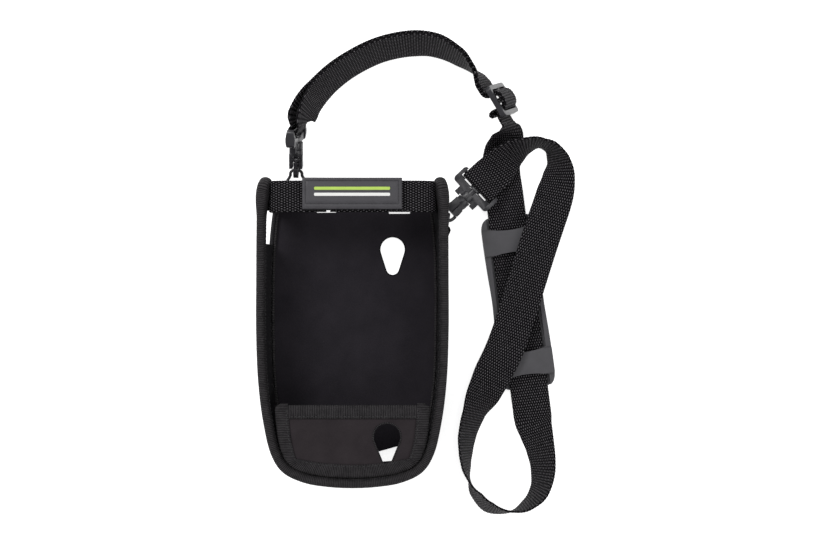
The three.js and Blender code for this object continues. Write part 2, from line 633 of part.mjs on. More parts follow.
// It stands on edge round the bottom loop and comes back flat.
const loopRun = new Ribbon([
  onPad(RUN + 0.4, PAD_WEB_Z, 180), onPad(78, 5.2, 194), [119.0, -66.0, 7.6, 212], [121.6, -77.0, 10.0, 226],
  [123.2, -90.8, 11.4, 236], [120.6, -104.3, 12.4, 248], [112.7, -113.3, 13.0, 262], [102.4, -117.6, 13.2, 279],
  [88.0, -114.9, 12.5, 292], [79.7, -106.5, 12.8, 286], [75.5, -98.0, 13.2, 270], [73.2, -88.0, 13.0, 256],
  [72.9, -78.8, 12.6, 248], [73.9, -68.0, 12.0, 240], [78.2, -54.0, 12.0, 231], [84.9, -39.8, 13.4, 203],
  [90.6, -27.4, 13.6, 188],
]);
add('strap_bottom_loop', loopRun.solid(0, 1, 84), 'webbing');

// It crosses over the pad, turns over the top loop and ends at the right hook.
const crossing = new Ribbon([
  [90.85, -26.85, 13.6, 188], [97.1, -14.2, 13.0, 183], [105.3, 8.0, 12.1, 180], [112.4, 31.3, 12.3, 180],
  [120.1, 55.9, 12.8, 180],
]);
add('strap_crossing', crossing.solid(0, 1, 16), 'webbing');

const topLoop = new Ribbon([
  [120.3, 56.5, 12.8, 180], [125.4, 72.0, 13.4, 179], [130.4, 87.5, 13.0, 166], [133.3, 101.0, 12.2, 142],
  [133.2, 111.7, 12.0, 119], [129.2, 119.0, 13.2, 104], [122.6, 122.2, 13.6, 98], [113.6, 120.8, 14.4, 110],
  [104.0, 116.2, 13.6, 132], [96.6, 109.4, 11.6, 154], [91.3, 103.6, 10.2, 172], [87.6, 100.18, 9.6, 180],
  [85.25, 98.0, 9.6, 180],
]);
const parting = (t) => 1.1 * (smoothstep(t, 0.72, 0.93) + smoothstep(t, 0.9, 1)); // layers part at the hook
add('strap_top_loop', topLoop.solid(0, 1, 60, (t) => -parting(t)), 'webbing');
add('strap_right_sewn_end', topLoop.solid(0.86, 1, 10, parting), 'webbing');

// ---- Shoulder pad: base, side rails and two bridges over the webbing; its own Y is its length ----
const pad = placed([...PAD_AT, 0], [padAxis[1], -padAxis[0], 0], [padAxis[0], padAxis[1], 0]);
const PAD_FOOT = 0.1;
const padHalf = PAD_LENGTH / 2;
const CHANNEL = 13.2;
const WINDOW = 14.2; // half width of the openings between the bridges

function padOutline() {
  const s = new THREE.Shape();
  const side = PAD_WIDTH / 2;
  const corner = 10;
  s.moveTo(-side + 6, -padHalf);
  s.lineTo(side - 6, -padHalf);
  s.quadraticCurveTo(side, -padHalf + 1, side, -padHalf + corner);
  s.bezierCurveTo(side, -20, side - 1.2, -10, side - 1.2, 0);
  s.bezierCurveTo(side - 1.2, 10, side, 20, side, padHalf - corner);
  s.quadraticCurveTo(side, padHalf - 1, side - 6, padHalf);
  s.lineTo(-side + 6, padHalf);
  s.quadraticCurveTo(-side, padHalf - 1, -side, padHalf - corner);
  s.bezierCurveTo(-side, 20, -side + 1.2, 10, -side + 1.2, 0);
  s.bezierCurveTo(-side + 1.2, -10, -side, -20, -side, -padHalf + corner);
  s.quadraticCurveTo(-side, -padHalf + 1, -side + 6, -padHalf);
  return s;
}
const padTop = PAD_WEB_Z + WEBBING / 2 + 0.5;
const padBlank = solid(plate(padOutline(), PAD_FOOT, PAD_TOP));
const channel = solid(block(-CHANNEL, CHANNEL, -80, 80, PAD_FOOT + PAD_BASE, padTop));
// The bridges' edges bow: each opening reaches further at the middle than beside the rails.
function opening(y0, y1) {
  const bow = 4;
  const s = new THREE.Shape();
  s.moveTo(-WINDOW, y0);
  if (y0 > -padHalf) s.quadraticCurveTo(0, y0 - bow, WINDOW, y0);
  else s.lineTo(WINDOW, y0);
  s.lineTo(WINDOW, y1);
  if (y1 < padHalf) s.quadraticCurveTo(0, y1 + bow, -WINDOW, y1);
  else s.lineTo(-WINDOW, y1);
  s.closePath();
  return s;
}
const cuts = [[-80, -49.5], [-31, 31], [49.5, 80]].map(([y0, y1]) => (
  solid(plate(opening(y0, y1), PAD_FOOT + PAD_BASE, 20, 8))
));
const railTrims = [[-80, -48.5], [-32, 32], [48.5, 80]].map(([y0, y1]) => (
  solid(block(-40, 40, y0, y1, 7.2, 20))
));
const padSolid = [channel, ...cuts, ...railTrims].reduce((a, b) => a.subtract(b), padBlank);
add('shoulder_pad', geometryOf(padSolid), 'rubber', pad);

export default model;
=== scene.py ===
"""Looks of the soft carrying holster and its shoulder strap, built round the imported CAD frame."""
import math

import bpy
import numpy as np
from mathutils import Matrix, Vector


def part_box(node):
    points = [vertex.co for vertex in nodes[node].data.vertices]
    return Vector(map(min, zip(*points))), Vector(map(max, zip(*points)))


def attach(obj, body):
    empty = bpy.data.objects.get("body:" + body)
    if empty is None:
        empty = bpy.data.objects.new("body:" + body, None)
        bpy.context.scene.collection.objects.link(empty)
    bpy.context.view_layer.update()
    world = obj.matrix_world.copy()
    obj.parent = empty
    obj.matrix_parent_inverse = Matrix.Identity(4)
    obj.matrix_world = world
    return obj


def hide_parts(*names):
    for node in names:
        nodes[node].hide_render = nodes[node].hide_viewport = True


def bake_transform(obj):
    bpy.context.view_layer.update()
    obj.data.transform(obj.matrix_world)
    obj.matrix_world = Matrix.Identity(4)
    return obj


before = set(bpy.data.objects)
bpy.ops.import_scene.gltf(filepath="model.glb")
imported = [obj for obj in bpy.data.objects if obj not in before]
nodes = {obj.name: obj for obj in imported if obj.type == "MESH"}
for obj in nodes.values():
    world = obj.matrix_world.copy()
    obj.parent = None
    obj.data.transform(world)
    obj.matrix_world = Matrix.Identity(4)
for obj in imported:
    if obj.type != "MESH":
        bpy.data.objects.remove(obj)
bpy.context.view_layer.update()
MM = 0.001

# ---- Camera: straight above the holster, level with the photograph's view ----
CAMERA_AT = (0.0381, 0.0365, 1.0)
VIEW_WIDTH = 0.5445  # metres across the frame at the height of the floor
camera = bpy.data.objects.new("camera", bpy.data.cameras.new("camera"))
bpy.context.scene.collection.objects.link(camera)
camera.location = CAMERA_AT
camera.data.sensor_width = 36
camera.data.lens = 36 * CAMERA_AT[2] / VIEW_WIDTH
camera.data.clip_end = 20
bpy.context.scene.camera = camera


# ---- Materials ----
class Shader:
    """A Principled material whose colour, roughness and bump come from procedural nodes."""

    def __init__(self, name, roughness, **sockets):
        self.material = bpy.data.materials.new(name)
        self.material.use_nodes = True
        self.tree = self.material.node_tree
        self.bsdf = self.tree.nodes["Principled BSDF"]
        self.set(self.bsdf, Roughness=roughness, **sockets)

    def set(self, node, **sockets):
        for key, value in sockets.items():
            self.plug(node.inputs[key.replace("_", " ")], value)
        return node

    def plug(self, socket, value):
        if isinstance(value, bpy.types.NodeSocket):
            self.tree.links.new(value, socket)
        else:
            socket.default_value = value

    def node(self, kind, settings=None, **sockets):
        made = self.tree.nodes.new("ShaderNode" + kind)
        for key, value in (settings or {}).items():
            setattr(made, key, value)
        return self.set(made, **sockets)

    def math(self, operation, *values):
        made = self.tree.nodes.new("ShaderNodeMath")
        made.operation = operation
        for socket, value in zip(made.inputs, values):
            self.plug(socket, value)
        return made.outputs[0]

    def flat(self):
        """Across and along the piece, in millimetres, from its own flat map."""
        split = self.node("SeparateXYZ", Vector=self.node("UVMap", {"uv_map": "flat"}).outputs[0])
        return split.outputs[0], split.outputs[1]

    def place(self):
        return self.node("TexCoord").outputs["Object"]

    def noise(self, scale, detail=3.0, vector=None, roughness=0.55):
        return self.node("TexNoise", Vector=vector or self.place(), Scale=scale, Detail=detail,
                         Roughness=roughness).outputs["Fac"]

    def wave(self, value, period):
        """A ridge at every multiple of the period: 1 on top, 0 in the valleys."""
        turned = self.math("MULTIPLY", value, math.pi / period)
        return self.math("ABSOLUTE", self.math("COSINE", turned))

    def ramp(self, factor, low, high, dark, light):
        """A colour between dark and light as the factor goes from low to high."""
        share = self.node("MapRange", Value=factor, From_Min=low, From_Max=high).outputs[0]
        mix = self.node("Mix", {"data_type": "RGBA"})
        self.plug(mix.inputs[0], share)
        self.plug(mix.inputs[6], (*dark, 1))
        self.plug(mix.inputs[7], (*light, 1))
        return mix.outputs[2]

    def colour(self, value):
        self.plug(self.bsdf.inputs["Base Color"], value)

    def bump(self, height, distance_mm, strength=1.0):
        made = self.node("Bump", Height=height, Strength=strength, Distance=distance_mm * MM)
        self.plug(self.bsdf.inputs["Normal"], made.outputs[0])


# The weaves' sizes, in millimetres
PICK = 1.75  # one rib of the webbing, along it
END = 1.6  # one warp bundle of the webbing, across it
RIB = 1.1  # one rib of the grosgrain tape


def webbing_material():
    s = Shader("webbing", 0.68, Specular_IOR_Level=0.07)
    across, along = s.flat()
    wobble = s.math("MULTIPLY", s.noise(400.0), 0.5)
    along = s.math("ADD", along, wobble)
    rib = s.wave(along, PICK)
    warp = s.math("COSINE", s.math("MULTIPLY", across, 2 * math.pi / END))
    weft = s.math("COSINE", s.math("MULTIPLY", along, math.pi / PICK))
    dots = s.math("MAXIMUM", s.math("MULTIPLY", warp, weft), 0.0)
    # The weave's raised dots, and a little of each rib's top, are painted far lighter than the near-black
    # nylon: painted highlights where the weave catches the lamps, broken up by noise.
    painted_glint = s.math("MULTIPLY", dots, s.math("ADD", s.noise(700.0, 2.0), 0.25))
    shade = s.math("ADD", painted_glint, s.math("MULTIPLY", rib, 0.12))
    s.colour(s.ramp(shade, 0.2, 0.78, (0.0032, 0.0028, 0.0038), (0.16, 0.152, 0.163)))
    height = s.math("ADD", rib, s.math("MULTIPLY", dots, 1.2))
    fibre = s.math("MULTIPLY", s.noise(2500.0, 2.0), 0.4)
    s.bump(s.math("ADD", height, fibre), 0.34)
    return s.material


def binding_material(name, dark, light):
    s = Shader(name, 0.72, Specular_IOR_Level=0.14)
    across, along = s.flat()
    along = s.math("ADD", along, s.math("MULTIPLY", s.noise(250.0), 0.6))
    ridge = s.wave(along, RIB)
    thread = s.math("MULTIPLY", s.wave(across, 0.45), 0.25)
    # Each rib is painted lighter on top and darker in its valleys: painted highlight and painted shade,
    # varied along the tape by noise.
    shade = s.math("MULTIPLY", ridge, s.math("ADD", s.noise(260.0), 0.35))
    s.colour(s.ramp(shade, 0.15, 0.9, dark, light))
    s.bump(s.math("ADD", ridge, thread), 0.2)
    return s.material


def panel_material(name, dark, light):
    s = Shader(name, 0.85, Specular_IOR_Level=0.15)
    place = s.place()
    grain = s.noise(1800.0, 3.0, place)
    mottle = s.noise(55.0, 5.0, place, 0.6)
    s.colour(s.ramp(s.math("ADD", s.math("MULTIPLY", mottle, 0.65), s.math("MULTIPLY", grain, 0.35)),
                    0.3, 0.7, dark, light))
    height = s.math("ADD", grain, s.math("MULTIPLY", s.noise(90.0, 3.0, place), 1.2))
    s.bump(height, 0.12)
    return s.material


def moulded_material(name, dark, light, roughness, stipple=0.05):
    s = Shader(name, roughness)
    place = s.place()
    fine = s.noise(2600.0, 2.0, place)
    broad = s.noise(120.0, 4.0, place)
    s.colour(s.ramp(broad, 0.3, 0.7, dark, light))
    rough = s.node("MapRange", Value=broad, From_Min=0.3, From_Max=0.7, To_Min=roughness - 0.07,
                   To_Max=roughness + 0.08).outputs[0]
    s.plug(s.bsdf.inputs["Roughness"], rough)
    s.bump(fine, stipple)
    return s.material


def tape_material():
    """Hook and loop tape: a fuzz of short fibres."""
    s = Shader("touch_tape", 0.9, Specular_IOR_Level=0.1)
    place = s.place()
    fuzz = s.noise(1500.0, 6.0, place, 0.75)
    s.colour(s.ramp(fuzz, 0.35, 0.7, (0.006, 0.006, 0.007), (0.05, 0.05, 0.052)))
    s.bump(fuzz, 0.5)
    return s.material


WEBBING = webbing_material()
TAPE = binding_material("grosgrain", (0.0026, 0.0023, 0.003), (0.043, 0.04, 0.0425))
LINING = panel_material("lining", (0.0118, 0.0103, 0.0136), (0.022, 0.0192, 0.024))
SHELL = panel_material("shell", (0.009, 0.0085, 0.01), (0.017, 0.016, 0.018))
POCKET = panel_material("pocket_cloth", (0.018, 0.0145, 0.0165), (0.034, 0.028, 0.031))
PLASTIC = moulded_material("acetal", (0.019, 0.0183, 0.022), (0.029, 0.028, 0.033), 0.34)
# The bevelled edges of the hooks, swivel loops and adjuster take this much lighter plastic: painted highlight
# along every edge.
PLASTIC_EDGE_HIGHLIGHT = moulded_material("acetal_edge_highlight", (0.085, 0.083, 0.092), (0.12, 0.118, 0.13), 0.3, 0.02)
RUBBER = moulded_material("pad_rubber", (0.05, 0.0485, 0.054), (0.066, 0.064, 0.071), 0.62, 0.1)
# The pad's bevelled border takes this darker, glossier rubber: painted shade where the rounded edge turns
# away from the light.
RUBBER_EDGE_SHADE = moulded_material("pad_rubber_edge_shade", (0.026, 0.0255, 0.029), (0.036, 0.035, 0.039), 0.42, 0.06)
LABEL = moulded_material("label_rubber", (0.041, 0.039, 0.045), (0.055, 0.053, 0.06), 0.58, 0.08)
THREAD = moulded_material("thread", (0.012, 0.012, 0.013), (0.04, 0.039, 0.042), 0.6)
TOUCH = tape_material()
PIN_STEEL = moulded_material("pin", (0.3, 0.3, 0.31), (0.42, 0.42, 0.43), 0.35, 0.02)
GREEN = moulded_material("green_inlay", (0.42, 0.62, 0.08), (0.5, 0.7, 0.12), 0.45, 0.04)
WHITE = moulded_material("white_inlay", (0.8, 0.8, 0.78), (0.88, 0.88, 0.86), 0.45, 0.04)


# ---- Curves, in millimetres ----
def unit(v):
    v = np.asarray(v, float)
    return v / np.linalg.norm(v, axis=-1, keepdims=True)


class Curve:
    """A centripetal Catmull-Rom curve through points, as the CAD source draws it."""

    def __init__(self, points):
        self.p = np.array(points, float)

    def point(self, t):
        p, last = self.p, len(self.p) - 1
        at = np.clip(np.atleast_1d(t), 0, 1) * last
        i = np.minimum(at.astype(int), last - 1)
        w = (at - i)[:, None]
        before = np.vstack([2 * p[0] - p[1], p])[i]
        after = np.vstack([p, 2 * p[-1] - p[-2]])[i + 2]
        a, b = p[i], p[i + 1]
        d0, d1, d2 = (np.maximum(np.linalg.norm(v, axis=1, keepdims=True), 1e-8) ** 0.5
                      for v in (a - before, b - a, after - b))
        m1 = ((a - before) / d0 - (b - before) / (d0 + d1) + (b - a) / d1) * d1
        m2 = ((b - a) / d1 - (after - a) / (d1 + d2) + (after - b) / d2) * d1
        return a + m1 * w + (3 * (b - a) - 2 * m1 - m2) * w**2 + (2 * (a - b) + m1 + m2) * w**3

    def tangent(self, t):
        t = np.atleast_1d(t).astype(float)
        return unit(self.point(np.minimum(t + 1e-4, 1)) - self.point(np.maximum(t - 1e-4, 0)))


def distances(points):
    """Distance of each point from the first one, along the line through them."""
    return np.concatenate([[0], np.cumsum(np.linalg.norm(np.diff(points, axis=0), axis=1))])


def smooth(t, low, high):
    x = np.clip((t - low) / (high - low), 0, 1)
    return x * x * (3 - 2 * x)


class Rings:
    """Places along a strip: its middle, the direction across it and the direction out of its face."""

    def __init__(self, middle, across, face):
        self.middle, self.across, self.face = middle, unit(across), unit(face)

    def reversed(self):
        return Rings(self.middle[::-1], self.across[::-1], self.face[::-1])

    def moved(self, offset):
        return Rings(self.middle + self.face * np.asarray(offset)[:, None], self.across, self.face)

    def joined(self, other):
        """This strip and then the other one, turned so that the width and the face carry on."""
        to_start, to_end = (np.linalg.norm(p - self.middle[-1]) for p in (other.middle[0], other.middle[-1]))
        if to_end < to_start:
            other = other.reversed()
        a, f = (1 if x[-1] @ y[0] > 0 else -1
                for x, y in ((self.across, other.across), (self.face, other.face)))
        return Rings(*(np.vstack(pair) for pair in (
            (self.middle, other.middle), (self.across, other.across * a), (self.face, other.face * f))))

    def resampled(self, step):
        gaps = np.linalg.norm(np.diff(self.middle, axis=0), axis=1)
        keep = np.concatenate([[True], gaps > 1e-6])
        m, a, f = self.middle[keep], self.across[keep], self.face[keep]
        s = distances(m)
        at = np.linspace(0, s[-1], max(2, int(round(s[-1] / step)) + 1))
        m, a, f = (np.stack([np.interp(at, s, v[:, k]) for k in range(3)], 1) for v in (m, a, f))
        made = Rings(m, a, f)
        made.s = at
        return made


def ribbon(route, t0=0.0, t1=1.0, offset=None, count=600):
    """The strip along a route of [x, y, z, turn], as the CAD source turns it."""
    route = np.array(route, float)
    t = np.linspace(t0, t1, count)
    curve = Curve(route[:, :3])
    middle, along = curve.point(t), curve.tangent(t)
    left = unit(np.stack([-along[:, 1], along[:, 0], np.zeros(count)], 1))
    up = np.cross(along, left)
    at = t * (len(route) - 1)
    i = np.minimum(at.astype(int), len(route) - 2)
    part = smooth(at - i, 0, 1) * 0.4 + (at - i) * 0.6
    turn = np.radians(route[i, 3] * (1 - part) + route[i + 1, 3] * part)[:, None]
    across = left * np.cos(turn) + up * np.sin(turn)
    made = Rings(middle, across, np.cross(along, across))
    return made if offset is None else made.moved(offset(t))


def placement(at, x_axis, y_axis):
    x = unit(x_axis)
    z = unit(np.cross(x, y_axis))
    return np.array(at, float), np.stack([x, np.cross(z, x), z])


def folded(points, place, count=300):
    """A strip folded in the XZ plane of a placement, with its width along the placement's Y."""
    at, basis = place
    curve = Curve([(x, 0, z) for x, z in points])
    t = np.linspace(0, 1, count)
    p, d = curve.point(t), curve.tangent(t)
    normal = np.stack([-d[:, 2], np.zeros(count), d[:, 0]], 1)
    width = np.tile([0.0, 1.0, 0.0], (count, 1))
    return Rings(at + p @ basis, width @ basis, normal @ basis)


# ---- Meshes ----
def mesh_object(name, points_mm, faces, uvs, material, smooth_angle=35):
    """A mesh with a flat map in millimetres; uvs holds one pair for each corner of each face."""
    mesh = bpy.data.meshes.new(name)
    mesh.from_pydata((np.asarray(points_mm) * MM).tolist(), [], faces)
    layer = mesh.uv_layers.new(name="flat")
    layer.data.foreach_set("uv", np.asarray(uvs, np.float32).ravel())
    mesh.materials.append(material)
    mesh.polygons.foreach_set("use_smooth", np.ones(len(mesh.polygons), bool))
    mesh.set_sharp_from_angle(angle=math.radians(smooth_angle))
    made = bpy.data.objects.new(name, mesh)
    bpy.context.scene.collection.objects.link(made)
    return made


def sweep_mesh(name, rings, material, u, v, smooth_angle=35):
    """Closed skin over rings of points (ring, place, xyz); u per section place, v per ring."""
    count, size = rings.shape[:2]
    points = rings.reshape(-1, 3)
    r, i = np.meshgrid(np.arange(count - 1), np.arange(size), indexing="ij")
    j = (i + 1) % size
    quads = np.stack([r * size + i, r * size + j, (r + 1) * size + j, (r + 1) * size + i], -1).reshape(-1, 4)
    uu = np.append(u, u[0])
    a, b = uu[i], uu[i + 1]
    va, vb = v[r], v[r + 1]
    corners = ((a, va), (b, va), (b, vb), (a, vb))
    uvs = np.stack([np.stack(corner, -1) for corner in corners], 2).reshape(-1, 2)
    faces = quads.tolist()
    first, last = list(range(size))[::-1], list(range((count - 1) * size, count * size))
    caps = [(u[i], v[0]) for i in first] + [(u[i - (count - 1) * size], v[-1]) for i in last]
    made = mesh_object(name, points, faces + [first, last], np.vstack([uvs, caps]), material, smooth_angle)
    outward(made)
    return made


def outward(obj):
    """Turns the faces of a closed mesh out."""
    mesh = obj.data
    mesh.calc_loop_triangles()
    co = np.array([v.co for v in mesh.vertices])
    tri = np.array([t.vertices for t in mesh.loop_triangles])
    volume = np.einsum("ij,ij->i", co[tri[:, 0]], np.cross(co[tri[:, 1]], co[tri[:, 2]])).sum()
    if volume < 0:
        mesh.flip_normals()


WEB_THICK = 1.5
RIB_STEPS = 6


def web_section(width, thick, columns):
    """Corner points of webbing, [across, out of the face], with round selvages."""
    half = width / 2
    inner = np.linspace(-half + 0.7, half - 0.7, columns)
    top = [(x, thick / 2) for x in inner]
    right = [(half - 0.25, thick * 0.36), (half, 0.0), (half - 0.25, -thick * 0.36)]
    return np.array(top + right + [(x, -y) for x, y in top[::-1]] + [(-x, y) for x, y in right[::-1]])


def webbing(name, strip, width=25.0, thick=WEB_THICK, columns=14, start=0.0):
    """Heavy ribbed webbing along a strip: each pick stands up, and the selvage is scalloped."""
    strip = strip.resampled(PICK / RIB_STEPS)
    section = web_section(width, thick, columns)
    v = strip.s + start
    ridge = np.abs(np.cos(math.pi * v / PICK))
    out = section[:, 1] * (0.80 + 0.24 * ridge[:, None])
    wide = section[:, 0] * (1 + 0.012 * (ridge[:, None] - 0.6))
    points = (strip.middle[:, None] + wide[..., None] * strip.across[:, None]
              + out[..., None] * strip.face[:, None])
    return sweep_mesh(name, points, WEBBING, section[:, 0] + 100, v, 60)


def finish_piece(piece, body, slot, *replaced):
    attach(piece, body)
    if replaced:
        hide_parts(*replaced)
    return piece


# ---- The walls' U, in plan ----
half_u = [
    (49.8, 84.0, 55.4, 95.5), (51.4, 74.0, 56.6, 84.0), (53.3, 56.0, 56.9, 62.0),
    (54.3, 30.0, 57.0, 34.0), (54.3, 0.0, 57.0, 0.0), (53.4, -30.0, 55.8, -30.0),
    (50.6, -54.0, 52.8, -55.0), (45.4, -74.0, 47.6, -76.5), (39.6, -83.0, 41.6, -85.6),
    (28.0, -88.4, 29.6, -91.4), (14.0, -90.6, 14.6, -93.9),
]
u_points = ([(-a, b, -c, d) for a, b, c, d in half_u] + [(0, -91.2, 0, -94.6)] + half_u[::-1])
WALL_HEIGHT, WALL, GAP, TAPE_THICK = 38.0, 2.6, 0.35, 1.0
u_base = Curve([(x, y, 0) for x, y, _, _ in u_points])
u_top = Curve([(x, y, WALL_HEIGHT) for _, _, x, y in u_points])
U_SIDE = 8.35 / (len(u_points) - 1)


def wall_frame(t):
    base = u_base.point(t)
    up = unit(u_top.point(t) - base)
    out = unit(np.cross(u_top.tangent(t), up))
    return base, up, out


def lengths(rings):
    """Distance along the strip of each ring, taken through the section's middle."""
    return distances(rings.mean(1))


def round_corners(points, radius, steps=4):
    """A closed polygon with its corners rounded; points may give their own radius as a third value."""
    made = []
    count = len(points)
    for k in range(count):
        p = np.array(points[k][:2], float)
        r = points[k][2] if len(points[k]) > 2 else radius
        a, b = np.array(points[k - 1][:2], float), np.array(points[(k + 1) % count][:2], float)
        da, db = unit(a - p), unit(b - p)
        reach = min(r, np.linalg.norm(a - p) * 0.45, np.linalg.norm(b - p) * 0.45)
        for s in np.linspace(0, 1, steps + 1):
            made.append(p + da * reach * (1 - s) ** 2 + db * reach * s**2)
    return np.array(made)


def section_u(section):
    """Distance round a closed section, one value for each place."""
    step = np.linalg.norm(np.diff(section, axis=0, append=section[:1]), axis=1)
    return np.concatenate([[0], np.cumsum(step)[:-1]])


def applied(obj):
    """Turns the object's modifiers, or its curve, into a plain mesh."""
    bpy.context.view_layer.update()
    graph = bpy.context.evaluated_depsgraph_get()
    mesh = bpy.data.meshes.new_from_object(obj.evaluated_get(graph), depsgraph=graph)
    name = obj.name
    if obj.type == "MESH":
        obj.modifiers.clear()
        obj.data = mesh
        return obj
    bpy.data.objects.remove(obj)
    made = bpy.data.objects.new(name, mesh)
    bpy.context.scene.collection.objects.link(made)
    return made


def flat_panel(name, outline, holes, z0, z1, material, bevel=0.3):
    """A laminate panel of an outline in plan, with holes and rolled edges."""
    curve = bpy.data.curves.new(name, "CURVE")
    curve.dimensions, curve.fill_mode = "2D", "BOTH"
    for points in [outline, *holes]:
        spline = curve.splines.new("POLY")
        spline.points.add(len(points) - 1)
        for place, (x, y) in zip(spline.points, points):
            place.co = (x * MM, y * MM, 0, 1)
        spline.use_cyclic_u = True
    curve.extrude = ((z1 - z0) / 2 - bevel) * MM
    curve.bevel_depth, curve.bevel_resolution, curve.offset = bevel * MM, 2, -bevel * MM
    held = bpy.data.objects.new(name, curve)
    bpy.context.scene.collection.objects.link(held)
    made = applied(held)
    made.data.transform(Matrix.Translation((0, 0, (z0 + z1) / 2 * MM)))
    layer = made.data.uv_layers.get("flat") or made.data.uv_layers.new(name="flat")
    for loop in made.data.loops:
        x, y, _ = made.data.vertices[loop.vertex_index].co
        layer.data[loop.index].uv = (x / MM, y / MM)
    made.data.materials.clear()
    made.data.materials.append(material)
    made.data.polygons.foreach_set("use_smooth", np.ones(len(made.data.polygons), bool))
    made.data.set_sharp_from_angle(angle=math.radians(40))
    return made


def stitches(name, line, normal, pitch=2.6, length=1.7, radius=0.2, material=None):
    """A row of thread stitches along a line of points, each one a low rounded float."""
    line = np.array(line, float)
    s = distances(line)
    at = np.arange(pitch / 2, s[-1], pitch)
    here = lambda v: np.stack([np.interp(v, s, line[:, k]) for k in range(3)], 1)
    normal = np.broadcast_to(unit(normal), line.shape)
    up = unit(np.stack([np.interp(at, s, normal[:, k]) for k in range(3)], 1))
    middle, along = here(at), unit(here(at + 0.1) - here(at - 0.1))
    side = np.cross(along, up)
    share, turn = np.linspace(-0.5, 0.5, 5), np.arange(6) * math.pi / 3
    swell = np.array([0.35, 0.9, 1.0, 0.9, 0.35])
    points, faces, uvs = [], [], []
    for m, a, n, w in zip(middle, along, up, side):
        first = len(points)
        for q, b in zip(share, swell):
            dip = (1 - (2 * q) ** 2) * 0.12
            for r in turn:
                points.append(m + a * q * length + n * (math.sin(r) * radius * b + dip)
                              + w * math.cos(r) * radius * 1.3 * b)
        for q in range(4):
            for r in range(6):
                e = (r + 1) % 6
                low = first + q * 6
                faces.append([low + r, low + e, low + 6 + e, low + 6 + r])
        faces += [[first + r for r in range(6)][::-1], [first + 24 + r for r in range(6)]]
    uvs = [(0, 0)] * sum(len(f) for f in faces)
    made = mesh_object(name, points, faces, uvs, material or THREAD, 80)
    outward(made)
    return made


# ---- Walls, and the binding that runs round their free edge ----
EAR = 6.0  # radius of the walls' top corners


def edge_height(distance):
    """Height of the wall's free edge near its end."""
    d = np.clip(EAR - distance, 0, EAR)
    return WALL_HEIGHT - EAR + np.sqrt(EAR**2 - d**2)


u_t = np.linspace(0, 1, 2401)
u_s = distances(u_top.point(u_t))
U_LENGTH = u_s[-1]


def pinch(y, z):
    """How far the laminate is pressed thin round the side slot."""
    beside = smooth(y, 50, 54.5) * (1 - smooth(y, 80, 84))
    return beside * smooth(z, 2.6, 5.2) * (1 - smooth(z, 33.5, 35.5))


def wall(name, t0, t1, steps, slotted=False):
    t = np.linspace(t0, t1, steps)
    s = np.interp(t, u_t, u_s)
    height = edge_height(np.minimum(s, U_LENGTH - s))
    levels = np.linspace(0, 1, 21)
    bulge = 0.35 * np.sin(np.pi * levels)
    inner = np.stack([-0.15 * np.sin(np.pi * levels), 0.35 + levels * (WALL_HEIGHT - 0.35)], 1)
    outer = np.stack([WALL + bulge, 0.8 + levels * (WALL_HEIGHT - 0.8)], 1)[::-1]
    section = np.vstack([inner, outer])
    base, up, out = wall_frame(t)
    h = section[:, 1][None] * (height / WALL_HEIGHT)[:, None]
    wide = np.broadcast_to(section[:, 0], h.shape).copy()
    if slotted:
        press = pinch((base[:, None] + h[..., None] * up[:, None])[..., 1], h)
        lean = -0.6 * (1 - h / WALL_HEIGHT)
        wide = np.where(section[:, 0] > 1, wide + (1.1 + lean - wide) * press, wide + (lean - wide) * press)
    rings = base[:, None] + wide[..., None] * out[:, None] + h[..., None] * up[:, None]
    return sweep_mesh(name, rings, SHELL, section_u(section), s, 40)


seam = 0.0012  # half the gap between neighbouring walls, in the curve's parameter
gusset_left = wall("gusset_left", 0, U_SIDE - seam, 130, slotted=True)
gusset_bottom = wall("gusset_bottom", U_SIDE + seam, 1 - U_SIDE - seam, 80)
gusset_right = wall("gusset_right", 1 - U_SIDE + seam, 1, 90)

slot_outline = round_corners([(56.5, 5.4), (78, 5.4), (78, 33.5), (56.5, 33.5)], 2.2, 5)
cutter = mesh_object("cutter", [(x, y, z) for x in (-75, -42) for y, z in slot_outline],
                     [list(range(len(slot_outline)))[::-1],
                      list(range(len(slot_outline), 2 * len(slot_outline)))]
                     + [[i, (i + 1) % len(slot_outline), (i + 1) % len(slot_outline) + len(slot_outline),
                         i + len(slot_outline)] for i in range(len(slot_outline))],
                     [(0, 0)] * (6 * len(slot_outline)), SHELL)
outward(cutter)
cut = gusset_left.modifiers.new("slot", "BOOLEAN")
cut.object, cut.operation, cut.solver = cutter, "DIFFERENCE", "EXACT"
applied(gusset_left)
bpy.data.objects.remove(cutter)
for piece, node in ((gusset_left, "left_wall"), (gusset_bottom, "bottom_wall"), (gusset_right, "right_wall")):
    finish_piece(piece, "holster", "panel", node)


def rim_strip():
    """The walls' free edge from the foot of the left end, over both ears, to the foot of the right end:
    its points, the direction away from the wall's edge, and the direction out of the wall."""

    def end(t, ear_at):
        """One end of the walls, from its foot to the top of its ear."""
        base, up, out = (v[0] for v in wall_frame(np.array([t])))
        beyond = unit(np.cross(out, up))
        if beyond[1] < 0:
            beyond = -beyond
        made = [(base + up * h, beyond, out) for h in np.linspace(2.0, WALL_HEIGHT - EAR - 0.5, 30)]
        base, up, out = (v[0] for v in wall_frame(np.array([np.interp(ear_at, u_s, u_t)])))
        for a in np.linspace(0, math.pi / 2, 16):
            n = unit(math.sin(a) * up + math.cos(a) * beyond)
            made.append((base + up * (WALL_HEIGHT - EAR) + n * EAR, n, out))
        return made

    base, up, out = wall_frame(np.interp(np.linspace(EAR + 1, U_LENGTH - EAR - 1, 380), u_s, u_t))
    along_top = [(b + u * WALL_HEIGHT, u, o) for b, u, o in zip(base, up, out)]
    rows = end(0.0, EAR) + along_top + end(1.0, U_LENGTH - EAR)[::-1]
    return (np.array(x) for x in zip(*rows))


